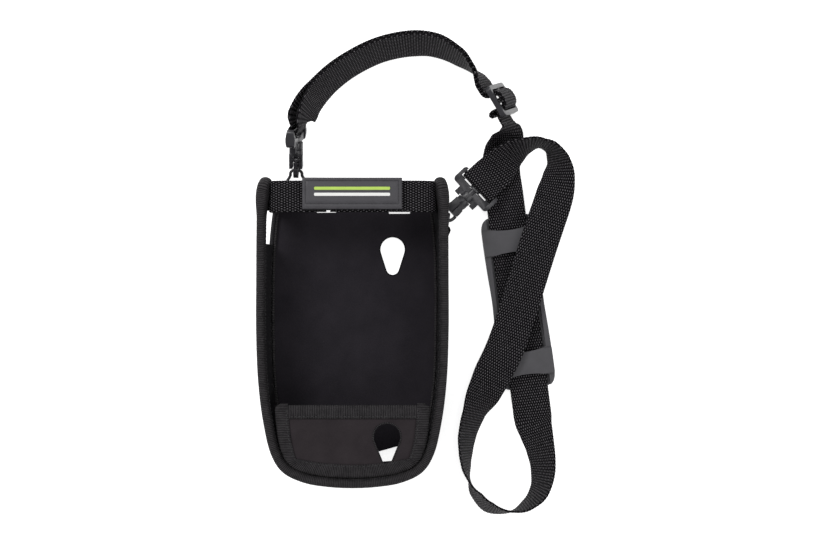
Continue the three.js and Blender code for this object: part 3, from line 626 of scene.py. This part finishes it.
edge, edge_up, edge_out = rim_strip()
HALF_RIM = WALL / 2 + GAP + TAPE_THICK
fold = [(WALL / 2 + HALF_RIM * math.cos(a), 1.75 + HALF_RIM * math.sin(a))
        for a in np.linspace(math.pi, 0, 15)]
inside = [(WALL / 2 + (HALF_RIM - TAPE_THICK) * math.cos(a), 0.35 + 0.8 * math.sin(a))
          for a in np.linspace(0, math.pi, 9)]
rim_section = np.array(
    [(-GAP - TAPE_THICK, y) for y in (-3.6, -2, 0)] + fold
    + [(WALL + GAP + TAPE_THICK, y) for y in (0, -2, -3.6)]
    + [(WALL + GAP + 0.7, -4.0), (WALL + GAP, -3.6), (WALL + GAP, -1.5)] + inside
    + [(-GAP, -1.5), (-GAP, -3.6), (-GAP - 0.7, -4.0)])
rim_rings = (edge[:, None] + rim_section[None, :, :1] * edge_out[:, None]
             + rim_section[None, :, 1:] * edge_up[:, None])
rim_v = distances(edge)
# the tape is folded wide over the ears
ends = np.minimum(rim_v, rim_v[-1] - rim_v)
broad = smooth(ends, 26, 34) * (1 - smooth(ends, 42, 58))
middle = rim_section[:, 0] - WALL / 2
rim_rings += edge_out[:, None] * (middle[None] * broad[:, None] * 0.38)[..., None]
rim_rings += edge_up[:, None] * (np.clip(rim_section[:, 1], 0, 3)[None] * broad[:, None] * 0.45)[..., None]
# and it puckers a little between stitches
pucker = 0.10 * np.sin(2 * np.pi * rim_v / 5.3) + 0.07 * np.sin(2 * np.pi * rim_v / 3.1 + 1)
rim_rings += edge_up[:, None] * (pucker[:, None] * np.clip(rim_section[:, 1], 0, 3) / 3)[..., None]
rim = sweep_mesh("rim_tape", rim_rings, TAPE, section_u(rim_section), rim_v, 50)
finish_piece(rim, "holster", "binding", "rim_binding")

inner_row = edge + edge_out * (-GAP - TAPE_THICK - 0.05) + edge_up * -2.4
outer_row = edge + edge_out * (WALL + GAP + TAPE_THICK + 0.05) + edge_up * -2.4
for side, row, facing in (("inner", inner_row, -edge_out), ("outer", outer_row, edge_out)):
    finish_piece(stitches(f"rim_stitches_{side}", row, facing), "holster", "binding")

# piping along the foot of the walls
t = np.linspace(0.006, 0.994, 260)
base, up, out = wall_frame(t)
bead = np.array([(-1.25 + 0.95 * math.cos(a), 4.1 + 0.95 * math.sin(a))
                 for a in np.linspace(0, 2 * math.pi, 12, False)])
rings = base[:, None] + bead[None, :, :1] * out[:, None] + bead[None, :, 1:] * up[:, None]
piping = sweep_mesh("seam_cord", rings, TAPE, section_u(bead), lengths(rings), 80)
finish_piece(piping, "holster", "binding", "seam_piping")


# ---- Back panel ----
def teardrop(x, head_y, head_r, foot_y, foot_r, count=28):
    lean = math.asin((head_r - foot_r) / (head_y - foot_y))
    head = [(x + head_r * math.cos(a), head_y + head_r * math.sin(a))
            for a in np.linspace(-lean, math.pi + lean, count)]
    foot = [(x + foot_r * math.cos(a), foot_y + foot_r * math.sin(a))
            for a in np.linspace(math.pi + lean, 2 * math.pi - lean, count // 2)]
    return head + foot


PANEL, TOP_EDGE = 2.6, 84.0
t = np.linspace(0, 1, 200)
base, up, out = wall_frame(t)
foot = (base - out * GAP)[:, :2]
foot = [p for p in foot if p[1] < TOP_EDGE - 0.1]
back_outline = [(foot[0][0], TOP_EDGE), *foot, (foot[-1][0], TOP_EDGE)]
lash = [round_corners([(a, y), (b, y + 0.1), (b, y + 1.9), (a, y + 1.8)], 0.7, 4)
        for a, b, y in ((-25, -12, 77.5), (22.5, 36.5, 76.8))]
port = round_corners([(10.5, -81.2), (12, -87), (31, -85.6), (33, -75)], 1.0, 4)
back_holes = [*lash, teardrop(25, 53.3, 8.4, 40.8, 4.6), port]
back = flat_panel("back_lining", back_outline, back_holes, 0, PANEL, LINING, 0.35)
finish_piece(back, "holster", "panel", "back_panel")


def tape_along(name, outer, inner, z, material, slot, *replaced, thick=1.0, crown=0.12):
    """Flat tape between two lines in plan, with soft edges."""
    outer, inner = np.array(outer, float), np.array(inner, float)
    share = np.array([0.0, 0.04, 0.2, 0.5, 0.8, 0.96, 1.0])
    top = np.array([0.45, 0.9, 1.0, 1.0 + crown, 1.0, 0.9, 0.45]) * thick
    line = np.concatenate([share, share[::-1]])
    high = np.concatenate([top, np.array([0.25, 0, 0, 0, 0, 0, 0.25]) * thick])
    flat_points = outer[:, None] * (1 - line[None, :, None]) + inner[:, None] * line[None, :, None]
    heights = np.broadcast_to((z + high)[None, :, None], (*flat_points.shape[:2], 1))
    points = np.concatenate([flat_points, heights], 2)
    v = distances((outer + inner) / 2)
    width = np.linalg.norm(outer - inner, axis=1).mean()
    made = sweep_mesh(name, points, material, line * width, v, 50)
    return finish_piece(made, "holster", slot, *replaced)


xs = np.linspace(-50.6, 50.6, 120)
top_y = lambda y: np.stack([xs, np.full_like(xs, y)], 1)
tape_along("back_edge_tape_front", top_y(86.4), top_y(81.4), PANEL, TAPE, "binding", thick=0.8)
fold_line = np.stack([xs, np.full_like(xs, TOP_EDGE), np.full_like(xs, 1.55)], 1)
roll = np.array([(1.1 + 1.5 * math.sin(a), 1.75 * math.cos(a))
                 for a in np.linspace(0, 2 * math.pi, 16, False)])
rings = fold_line[:, None] + np.stack([np.zeros(16), roll[:, 0], roll[:, 1]], 1)[None]
rings[..., 2] = np.maximum(rings[..., 2], 0.02)
roll_piece = sweep_mesh("back_edge_roll", rings, TAPE, section_u(roll), xs, 60)
finish_piece(roll_piece, "holster", "binding", "back_top_binding")

# ---- Front pocket ----
POCKET_Z, POCKET_THICK, BAND = 34.0, 2.0, 8.4


def bezier(p, a, b, q, count=24):
    t = np.linspace(0, 1, count)[:, None]
    p, a, b, q = (np.array(v, float) for v in (p, a, b, q))
    return p * (1 - t) ** 3 + 3 * a * t * (1 - t) ** 2 + 3 * b * t**2 * (1 - t) + q * t**3


def pocket_line(inset, top_inset):
    """The pocket's edge from its left top corner, round the bottom, to its right top corner."""
    side = 49.4 - inset
    left = bezier((-side, -46.5 - top_inset), (-side + 0.6, -62), (-side + 2.2, -74),
                  (-43.2 + inset * 0.9, -80.5))
    low = bezier((-43.2 + inset * 0.9, -80.5), (-38 + inset * 0.6, -88.5 + inset),
                 (-28 + inset * 0.4, -92.2 + inset), (0, -92.6 + inset), 36)
    half = np.vstack([left, low[1:]])
    return np.vstack([half, half[-2::-1] * [-1, 1]])


pocket_hole = teardrop(21.9, -66.5, 8.9, -80.6, 3.6)
pocket = flat_panel("pocket_front", pocket_line(0.6, 0.6), [pocket_hole], POCKET_Z,
                    POCKET_Z + POCKET_THICK, POCKET)
finish_piece(pocket, "holster", "panel", "pocket_panel")
tape_z = POCKET_Z + POCKET_THICK + 0.05
xs = np.linspace(-46.5, 46.5, 140)
tape_along("pocket_tape_top", top_y(-46.2), top_y(-55.0), tape_z, TAPE, "binding",
           "pocket_top_binding", thick=1.1)
outer, inner = pocket_line(-0.1, -1.4), pocket_line(BAND, -1.4)
CORNER = 4.2  # the tape's outer corner is cut round where it ends at the top
run = distances(outer)
near = np.clip(CORNER - np.minimum(run, run[-1] - run), 0, CORNER)
outer += unit(inner - outer) * (CORNER - np.sqrt(CORNER**2 - near**2))[:, None] * 0.9
tape_along("pocket_tape_edge", outer, inner, tape_z + 0.25, TAPE, "binding", "pocket_edge_binding")
row = pocket_line(BAND - 1.3, 2.5)
row = np.column_stack([row, np.full(len(row), tape_z + 1.3)])
finish_piece(stitches("pocket_stitches_edge", row, (0, 0, 1)), "holster", "binding")
row = np.column_stack([np.linspace(-40, 40, 60), np.full(60, -53.6), np.full(60, tape_z + 1.12)])
finish_piece(stitches("pocket_stitches_top", row, (0, 0, 1)), "holster", "binding")


def trim_ring(name, outline, z, radius, material, body, slot):
    """A thin rolled edge round a hole."""
    line = np.array(list(outline) + [outline[0]], float)
    gaps = np.linalg.norm(np.diff(line, axis=0), axis=1)
    line = line[np.concatenate([[True], gaps > 1e-4])]
    s = distances(line)
    at = np.linspace(0, s[-1], 121)
    p = np.stack([np.interp(at, s, line[:, k]) for k in range(2)], 1)
    d = unit(np.roll(p[:-1], -1, 0) - np.roll(p[:-1], 1, 0))
    d = np.vstack([d, d[:1]])
    n = np.stack([d[:, 1], -d[:, 0]], 1)
    turn = np.linspace(0, 2 * math.pi, 10, False)
    rings = np.stack([np.column_stack([p + n * radius * math.cos(a),
                                       np.full(len(p), z + radius * 0.8 * math.sin(a))]) for a in turn], 1)
    made = sweep_mesh(name, rings, material, turn * radius, at, 80)
    return finish_piece(made, body, slot)


trim_ring("pocket_hole_trim", pocket_hole, POCKET_Z + POCKET_THICK + 0.05, 0.55, TAPE, "holster", "binding")
trim_ring("back_hole_trim", back_holes[2], PANEL, 0.45, SHELL, "holster", "panel")

# ---- Bridge: two webbing straps that close under the label ----
BRIDGE_Z, BRIDGE_Y, BRIDGE_WIDE = 39.0, 86.4, 20.0
WEB_MIDDLE = BRIDGE_Z + 0.75
bridge_place = placement((0, BRIDGE_Y, 0), (1, 0, 0), (0, 1, 0))
left_points = [(-50.4, 15), (-52.0, 24), (-52.9, 30.5), (-52.2, 35), (-49.6, 38.0), (-45.5, 39.4),
               (-40, WEB_MIDDLE), (-28, WEB_MIDDLE), (-16.5, WEB_MIDDLE)]
right_points = [(50.4, 15), (52.0, 24), (52.7, 30), (51.8, 34.5), (49.4, 37.3), (45.4, 39.2),
                (40, WEB_MIDDLE), (10, WEB_MIDDLE), (-14, WEB_MIDDLE)]
left_bridge = folded(left_points, bridge_place)
right_bridge = folded(right_points, bridge_place)
bridge_left = webbing("bridge_webbing_left", left_bridge, BRIDGE_WIDE, columns=12)
finish_piece(bridge_left, "holster", "webbing", "bridge_strap_left")
bridge_right = webbing("bridge_webbing_right", right_bridge, BRIDGE_WIDE, columns=12)
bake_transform(bridge_right)
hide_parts("bridge_anchor_right", "bridge_strap_right")


def soft_block(name, node, material, body, slot):
    """A flat piece the size of its CAD node, with rounded corners and edges."""
    low, high = (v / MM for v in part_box(node))
    outline = round_corners([(low.x, low.y), (high.x, low.y), (high.x, high.y), (low.x, high.y)], 1.0)
    thick = high.z - low.z
    made = flat_panel(name, outline, [], low.z, high.z, material, min(0.3, thick * 0.35))
    return finish_piece(made, body, slot, node)


soft_block("hook_tape", "hook_patch", TOUCH, "holster", "patch")
soft_block("loop_tape", "loop_patch", TOUCH, "bridge_flap", "patch")
soft_block("label_felt", "label_backing", TOUCH, "bridge_flap", "patch")

# label: a moulded rubber plate with a stitched groove, a lower lip and a plain two-stripe inlay
low, high = (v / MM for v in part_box("label_patch"))
LABEL_TOP = high.z
LIP = 3.4  # the lower lip, below the stitched groove


GROOVE_IN, FRAME_IN = 2.05, 1.9  # the groove's middle and the sunk face's edge, in from the label's edge


def label_skin():
    x0, x1, y0, y1 = low.x, high.x, low.y, high.y
    xs = np.unique(np.concatenate([[x0, x0 + 0.35, x0 + 0.8, x0 + 1.7, x0 + GROOVE_IN, x0 + 2.4],
                                   np.linspace(x0 + 4, x1 - 4, 30),
                                   [x1 - 2.4, x1 - GROOVE_IN, x1 - 1.7, x1 - 0.8, x1 - 0.35, x1]]))
    ys = np.unique(np.array([y0, y0 + 0.35, y0 + 0.8, y0 + 2.0, y0 + LIP - 0.4, y0 + LIP, y0 + LIP + 0.4,
                             y0 + 6, y0 + 10, y0 + 14,
                             y1 - 2.4, y1 - GROOVE_IN, y1 - 1.7, y1 - 0.8, y1 - 0.35, y1]))
    points, faces = [], []
    for y in ys:
        for x in xs:
            rim_gap = min(x - x0, x1 - x, y - y0, y1 - y)
            z = LABEL_TOP - 0.45 * max(0, 1 - rim_gap / 0.8) ** 2
            groove = (abs(x - x0 - GROOVE_IN) < 0.1 or abs(x1 - GROOVE_IN - x) < 0.1
                      or abs(y1 - GROOVE_IN - y) < 0.1 or abs(y - y0 - LIP) < 0.1)
            inside_frame = x0 + FRAME_IN < x < x1 - FRAME_IN and y0 + LIP - 0.2 < y < y1 - FRAME_IN
            if groove and inside_frame:
                z -= 0.4
            elif inside_frame:
                z -= 0.12
            if y < y0 + LIP - 0.2:
                z -= 0.35 * ((y0 + LIP - y) / LIP) ** 1.5
            points.append((x, y, z))
    n, m = len(xs), len(ys)
    top = len(points)
    points += [(x, y, low.z) for x, y, _ in points]
    grid = lambda r, c, k: k * top + r * n + c
    for r in range(m - 1):
        for c in range(n - 1):
            faces.append([grid(r, c, 0), grid(r, c + 1, 0), grid(r + 1, c + 1, 0), grid(r + 1, c, 0)])
            faces.append([grid(r, c, 1), grid(r + 1, c, 1), grid(r + 1, c + 1, 1), grid(r, c + 1, 1)])
    for r in range(m - 1):
        for c in (0, n - 1):
            quad = [grid(r, c, 0), grid(r + 1, c, 0), grid(r + 1, c, 1), grid(r, c, 1)]
            faces.append(quad if c == 0 else quad[::-1])
    for c in range(n - 1):
        for r in (0, m - 1):
            quad = [grid(r, c, 1), grid(r, c + 1, 1), grid(r, c + 1, 0), grid(r, c, 0)]
            faces.append(quad if r == 0 else quad[::-1])
    uvs = [(points[i][0], points[i][1]) for f in faces for i in f]
    return mesh_object("label_plate", points, faces, uvs, LABEL, 50)


label = label_skin()
outward(label)
finish_piece(label, "bridge_flap", "label", "label_patch")
x0, x1, y0, y1 = low.x + GROOVE_IN, high.x - GROOVE_IN, low.y + LIP, high.y - GROOVE_IN
frame_line = []
corners = [(x0, y0), (x1, y0), (x1, y1), (x0, y1), (x0, y0)]
for a, b in zip(corners, corners[1:]):
    frame_line += [(np.array(a) * (1 - s) + np.array(b) * s) for s in np.linspace(0, 1, 20)]
frame_line = np.column_stack([np.array(frame_line), np.full(len(frame_line), LABEL_TOP - 0.42)])
gaps = np.concatenate([[True], np.linalg.norm(np.diff(frame_line, axis=0), axis=1) > 1e-6])
finish_piece(stitches("label_stitches", frame_line[gaps], (0, 0, 1), 2.4, 1.7, 0.17), "bridge_flap", "label")


def bar(name, x0, x1, y0, y1, material):
    outline = round_corners([(x0, y0), (x1, y0), (x1, y1), (x0, y1)], (y1 - y0) / 2, 8)
    made = flat_panel(name, outline, [], LABEL_TOP - 0.3, LABEL_TOP + 0.12, material, 0.12)
    return finish_piece(made, "bridge_flap", "label")


INLAY_HALF, INLAY_HIGH = 24, 2.0
for name, foot, material in (("inlay_green", 90.2, GREEN), ("inlay_white", 86.4, WHITE)):
    bar(name, -INLAY_HALF, INLAY_HALF, foot, foot + INLAY_HIGH, material)

# ---- The shoulder webbing: one strip, sewn at the right hook and at the adjuster ----
PAD_AT, PAD_TILT, RUN, PAD_WEB_Z = np.array([107.4, 18.8]), math.radians(7.3), 71.0, 4.75
pad_axis = np.array([math.sin(PAD_TILT), -math.cos(PAD_TILT)])


def on_pad(s, z, turn):
    return (*(PAD_AT + pad_axis * s), z, turn)


arc_route = [
    (-35.3, 134.66, 19.93, 89), (-34.85, 135.8, 20.4, 82), (-33.3, 139.2, 21.3, 66),
    (-29.6, 146.2, 20.2, 61), (-24.6, 153.8, 16.4, 60), (-14.5, 165.0, 12.9, 61),
    (-0.7, 174.9, 12.2, 62), (17.9, 183.6, 12.2, 62), (39.0, 187.5, 12.2, 62), (54.0, 186.0, 12.4, 66),
    (68.4, 178.6, 12.9, 76), (77.2, 170.8, 13.2, 92), (82.06, 164.67, 13.0, 108),
    (84.09, 161.22, 12.95, 113),
]
lower_route = [
    (100.75, 134.8, 13.38, 113), (101.1, 132.4, 12.9, 124), (99.9, 126.6, 9.8, 148),
    (97.6, 117.6, 3.8, 172), (96.5, 110.0, 1.3, 180), on_pad(-84, 1.6, 180), on_pad(-77, 3.6, 180),
    on_pad(-RUN - 0.4, PAD_WEB_Z, 180),
]
pad_route = [on_pad(-RUN, PAD_WEB_Z, 180), on_pad(RUN, PAD_WEB_Z, 180)]
loop_route = [
    on_pad(RUN + 0.4, PAD_WEB_Z, 180), on_pad(78, 5.2, 194), (119.0, -66.0, 7.6, 212),
    (121.6, -77.0, 10.0, 226), (123.2, -90.8, 11.4, 236), (120.6, -104.3, 12.4, 248),
    (112.7, -113.3, 13.0, 262), (102.4, -117.6, 13.2, 279), (88.0, -114.9, 12.5, 292),
    (79.7, -106.5, 12.8, 286), (75.5, -98.0, 13.2, 270), (73.2, -88.0, 13.0, 256),
    (72.9, -78.8, 12.6, 248), (73.9, -68.0, 12.0, 240), (78.2, -54.0, 12.0, 231),
    (84.9, -39.8, 13.4, 203), (90.6, -27.4, 13.6, 188),
]
crossing_route = [
    (90.85, -26.85, 13.6, 188), (97.1, -14.2, 13.0, 183), (105.3, 8.0, 12.1, 180),
    (112.4, 31.3, 12.3, 180), (120.1, 55.9, 12.8, 180),
]
top_route = [
    (120.3, 56.5, 12.8, 180), (125.4, 72.0, 13.4, 179), (130.4, 87.5, 13.0, 166),
    (133.3, 101.0, 12.2, 142), (133.2, 111.7, 12.0, 119), (129.2, 119.0, 13.2, 104),
    (122.6, 122.2, 13.6, 98), (113.6, 120.8, 14.4, 110), (104.0, 116.2, 13.6, 132),
    (96.6, 109.4, 11.6, 154), (91.3, 103.6, 10.2, 172), (87.6, 100.18, 9.6, 180),
    (85.25, 98.0, 9.6, 180),
]
loop_turn = [
    (-7.2, 2.3), (-5.4, 2.5), (-3.2, 2.55), (-1.5, 2.1), (-0.9, 0.9), (-0.9, -0.9), (-1.5, -2.1),
    (-3.2, -2.55), (-5.4, -2.5), (-7.2, -2.3),
]
SWING = 25.0  # degrees between the left hook and the strap that leaves it
STRAP_BAR = -3.25  # middle of a hook's strap bar, along the hook
over_bar = [
    (-15, 4.6), (-11.4, 4.6), (-9.2, 4.4), (-7.3, 3.3), (-6.5, 1.4), (-6.4, -1.3), (-4.4, -4.0),
    (0, -5.0), (4.4, -4.0), (6.4, -1.3), (6.5, 1.4), (7.3, 3.3), (9.2, 4.4), (11.4, 4.6), (15, 4.6),
]
round_bar = [
    (-15, 6.6), (-9.4, 6.4), (-6.9, 5.6), (-5.3, 3.7), (-4.8, 1), (-4.7, -1.2), (-3.1, -2.9), (0, -3.2),
    (3.0, -2.7), (4.3, -1.2), (4.5, 1), (4.2, 3.8), (4.0, 6.0), (4.5, 8.0), (5.8, 8.9), (7.1, 8.3),
    (7.3, 7.0), (6.5, 6.3),
]

# Each clip set: its swivel loop, the middle of its jaw, its ring, and the tab behind the ring.
HOOKS = {
    "left": dict(loop=(-37.4, 127.8, 17.2), jaw=(-38, 105.1, 9.4), loop_across=(-0.182, -0.3152, 0.9314),
                 ring=(-38, 94.8, 6.6), tab=14.5, back=(0, -1, 0), up=(0, 0, 1)),
    "right": dict(loop=(79.38, 92.54, 9.6), jaw=(61.8, 76.2, 9.6), loop_across=(0.6807, -0.7326, 0),
                  ring=(60.2, 65.82, 9.6), tab=16, back=(0.035, -1, 0), up=(1, 0.035, 0)),
}
for hook in HOOKS.values():
    hook["loop_place"] = placement(hook["loop"], np.subtract(hook["jaw"], hook["loop"]), hook["loop_across"])
    back, up = unit(hook["back"]), unit(hook["up"])
    foot = np.array(hook["ring"]) + back * hook["tab"] - up * 2.1
    hook["tab_place"] = placement(foot, -back, np.cross(up, -back))
glide_place = placement((96.3, 150.4, 15.1), (0.506, -0.863, 0), (-0.337, -0.198, 0.92))

ease = lambda t: (1.0 + 1.3 * (1 - smooth(t, 0, 0.28))
                  + 1.7 * smooth(t, 0, 0.15) * (1 - smooth(t, 0.17, 0.36)))
parting = lambda t: 1.1 * (smooth(t, 0.72, 0.93) + smooth(t, 0.9, 1))
outer_arc = ribbon(arc_route, offset=lambda t: -ease(t))
inner_arc = ribbon(arc_route, offset=ease)
over, around = folded(over_bar, glide_place), folded(round_bar, glide_place)
near_over = min((outer_arc, inner_arc), key=lambda arc: np.linalg.norm(arc.middle[-1] - over.middle[0]))
near_round = inner_arc if near_over is outer_arc else outer_arc

strip = ribbon(top_route, 0.86, 1, parting)
strip = strip.joined(folded(loop_turn, HOOKS["right"]["loop_place"]))
strip = strip.joined(ribbon(top_route, offset=lambda t: -parting(t)).reversed())
for route in (crossing_route, loop_route, pad_route, lower_route):
    strip = strip.joined(ribbon(route))
strip = strip.joined(over.reversed()).joined(near_over.reversed())
cosine, sine = math.cos(math.radians(SWING)), math.sin(math.radians(SWING))
turned = [(STRAP_BAR + (x - STRAP_BAR) * cosine - z * sine, (x - STRAP_BAR) * sine + z * cosine)
          for x, z in loop_turn]
strip = strip.joined(folded(turned, HOOKS["left"]["loop_place"]))
strip = strip.joined(near_round).joined(around)
strap = strip.resampled(0.5)


def stretch(name, start, end, rests_on, *replaced):
    """The part of the shoulder webbing between two distances along it, in millimetres."""
    keep = (strap.s >= start - 0.3) & (strap.s <= end + 0.3)
    part = Rings(strap.middle[keep], strap.across[keep], strap.face[keep])
    piece = webbing(name, part, start=start)
    finish_piece(piece, "holster", "webbing", *replaced)


def distance_to(point):
    return float(strap.s[np.argmin(np.linalg.norm(strap.middle - np.array(point), axis=1))])


under_crossing = distance_to((*(PAD_AT + pad_axis * 5), PAD_WEB_Z))
in_adjuster = distance_to(over.middle[150])
at_crossing = distance_to((97.1, -14.2, 13.0))
total = float(strap.s[-1])
stretch("strap_top", 0, at_crossing, ["shoulder_pad"], "strap_right_sewn_end", "right_strap_turn",
        "strap_top_loop", "strap_crossing")
stretch("strap_low", at_crossing, under_crossing, ["floor"], "strap_bottom_loop", "strap_pad_run")
stretch("strap_back", under_crossing, in_adjuster, ["floor"], "strap_lower")
stretch("strap_arc", in_adjuster, total, ["floor"], "strap_over_adjuster", "strap_arc_outer",
        "strap_arc_inner", "left_strap_turn", "strap_sewn_end")

# tabs that hold the rings
for side, hook in HOOKS.items():
    length = hook["tab"]
    points = [(0, 0), (length * 0.5, 0), (length - 1, -0.05), (length + 1.6, 0.7), (length + 2.15, 2.1),
              (length + 1.5, 3.6), (length - 0.4, 4.15), (length - 3, 3.0), (length - 5.5, 1.95), (0.4, 1.95)]
    tab = folded(points, hook["tab_place"])
    piece = webbing(f"{side}_tab_webbing", tab, 9.0, 1.4, 8)
    finish_piece(piece, "holster", "webbing", f"{side}_ring_tab")


# ---- Hard pieces: CAD shapes with softened edges ----
def soften(node, material, width, segments=3, edge=None):
    obj = nodes[node]
    obj.data.materials.clear()
    obj.data.materials.append(material)
    if edge:
        obj.data.materials.append(edge)
    weld = obj.modifiers.new("weld", "WELD")
    weld.merge_threshold = 1e-6
    bevel = obj.modifiers.new("edges", "BEVEL")
    bevel.width, bevel.segments, bevel.limit_method = width * MM, segments, "ANGLE"
    bevel.angle_limit = math.radians(40)
    # The bevel's faces take the edge material when one is given: painted highlight on the hard plastic,
    # painted shade round the pad.
    bevel.material = 1 if edge else -1
    obj.data.polygons.foreach_set("use_smooth", np.ones(len(obj.data.polygons), bool))


for side in HOOKS:
    soften(f"{side}_swivel_loop", PLASTIC, 0.35, 3, PLASTIC_EDGE_HIGHLIGHT)
    soften(f"{side}_snap_hook", PLASTIC, 0.12, 2, PLASTIC_EDGE_HIGHLIGHT)
    soften(f"{side}_gate", PLASTIC, 0.06, 2)
    soften(f"{side}_gate_pin", PIN_STEEL, 0.1, 2)
    soften(f"{side}_d_ring", PLASTIC, 0.05, 1)
soften("adjuster_frame", PLASTIC, 0.6, 4, PLASTIC_EDGE_HIGHLIGHT)
# The pad's bevel faces are painted darker: painted shade round its edges.
soften("shoulder_pad", RUBBER, 0.8, 4, RUBBER_EDGE_SHADE)

# ---- Floor and light ----
floor_shader = Shader("floor", 0.9, Emission_Color=(1, 1, 1, 1), Emission_Strength=0.8)
floor_shader.bsdf.inputs["Base Color"].default_value = (0.86, 0.86, 0.86, 1)
REACH, DROP = 3000, -0.3  # the floor's half width and its height
floor = mesh_object("floor", [(x * REACH, y * REACH, DROP) for x, y in ((-1, -1), (1, -1), (1, 1), (-1, 1))],
                    [[0, 1, 2, 3]], [(0, 0)] * 4, floor_shader.material)


def softbox(name, at, target, size, power):
    light = bpy.data.lights.new(name, "AREA")
    light.shape, light.size, light.energy = "SQUARE", size, power
    lamp = bpy.data.objects.new(name, light)
    bpy.context.scene.collection.objects.link(lamp)
    lamp.location = at
    lamp.rotation_euler = (Vector(target) - Vector(at)).to_track_quat("-Z", "Y").to_euler()
    return lamp


MIDDLE = (0.04, 0.03, 0.0)
softbox("key", (-0.9, 0.9, 1.3), MIDDLE, 0.7, 16)
softbox("fill", (1.1, -0.5, 1.2), MIDDLE, 0.8, 7)
softbox("top", (0.1, 0.5, 1.9), MIDDLE, 0.8, 6)
world = bpy.data.worlds.new("studio")
bpy.context.scene.world = world
world.use_nodes = True
world.node_tree.nodes["Background"].inputs[0].default_value = (1, 1, 1, 1)
world.node_tree.nodes["Background"].inputs[1].default_value = 0.34
bpy.context.scene.view_settings.view_transform = "Standard"
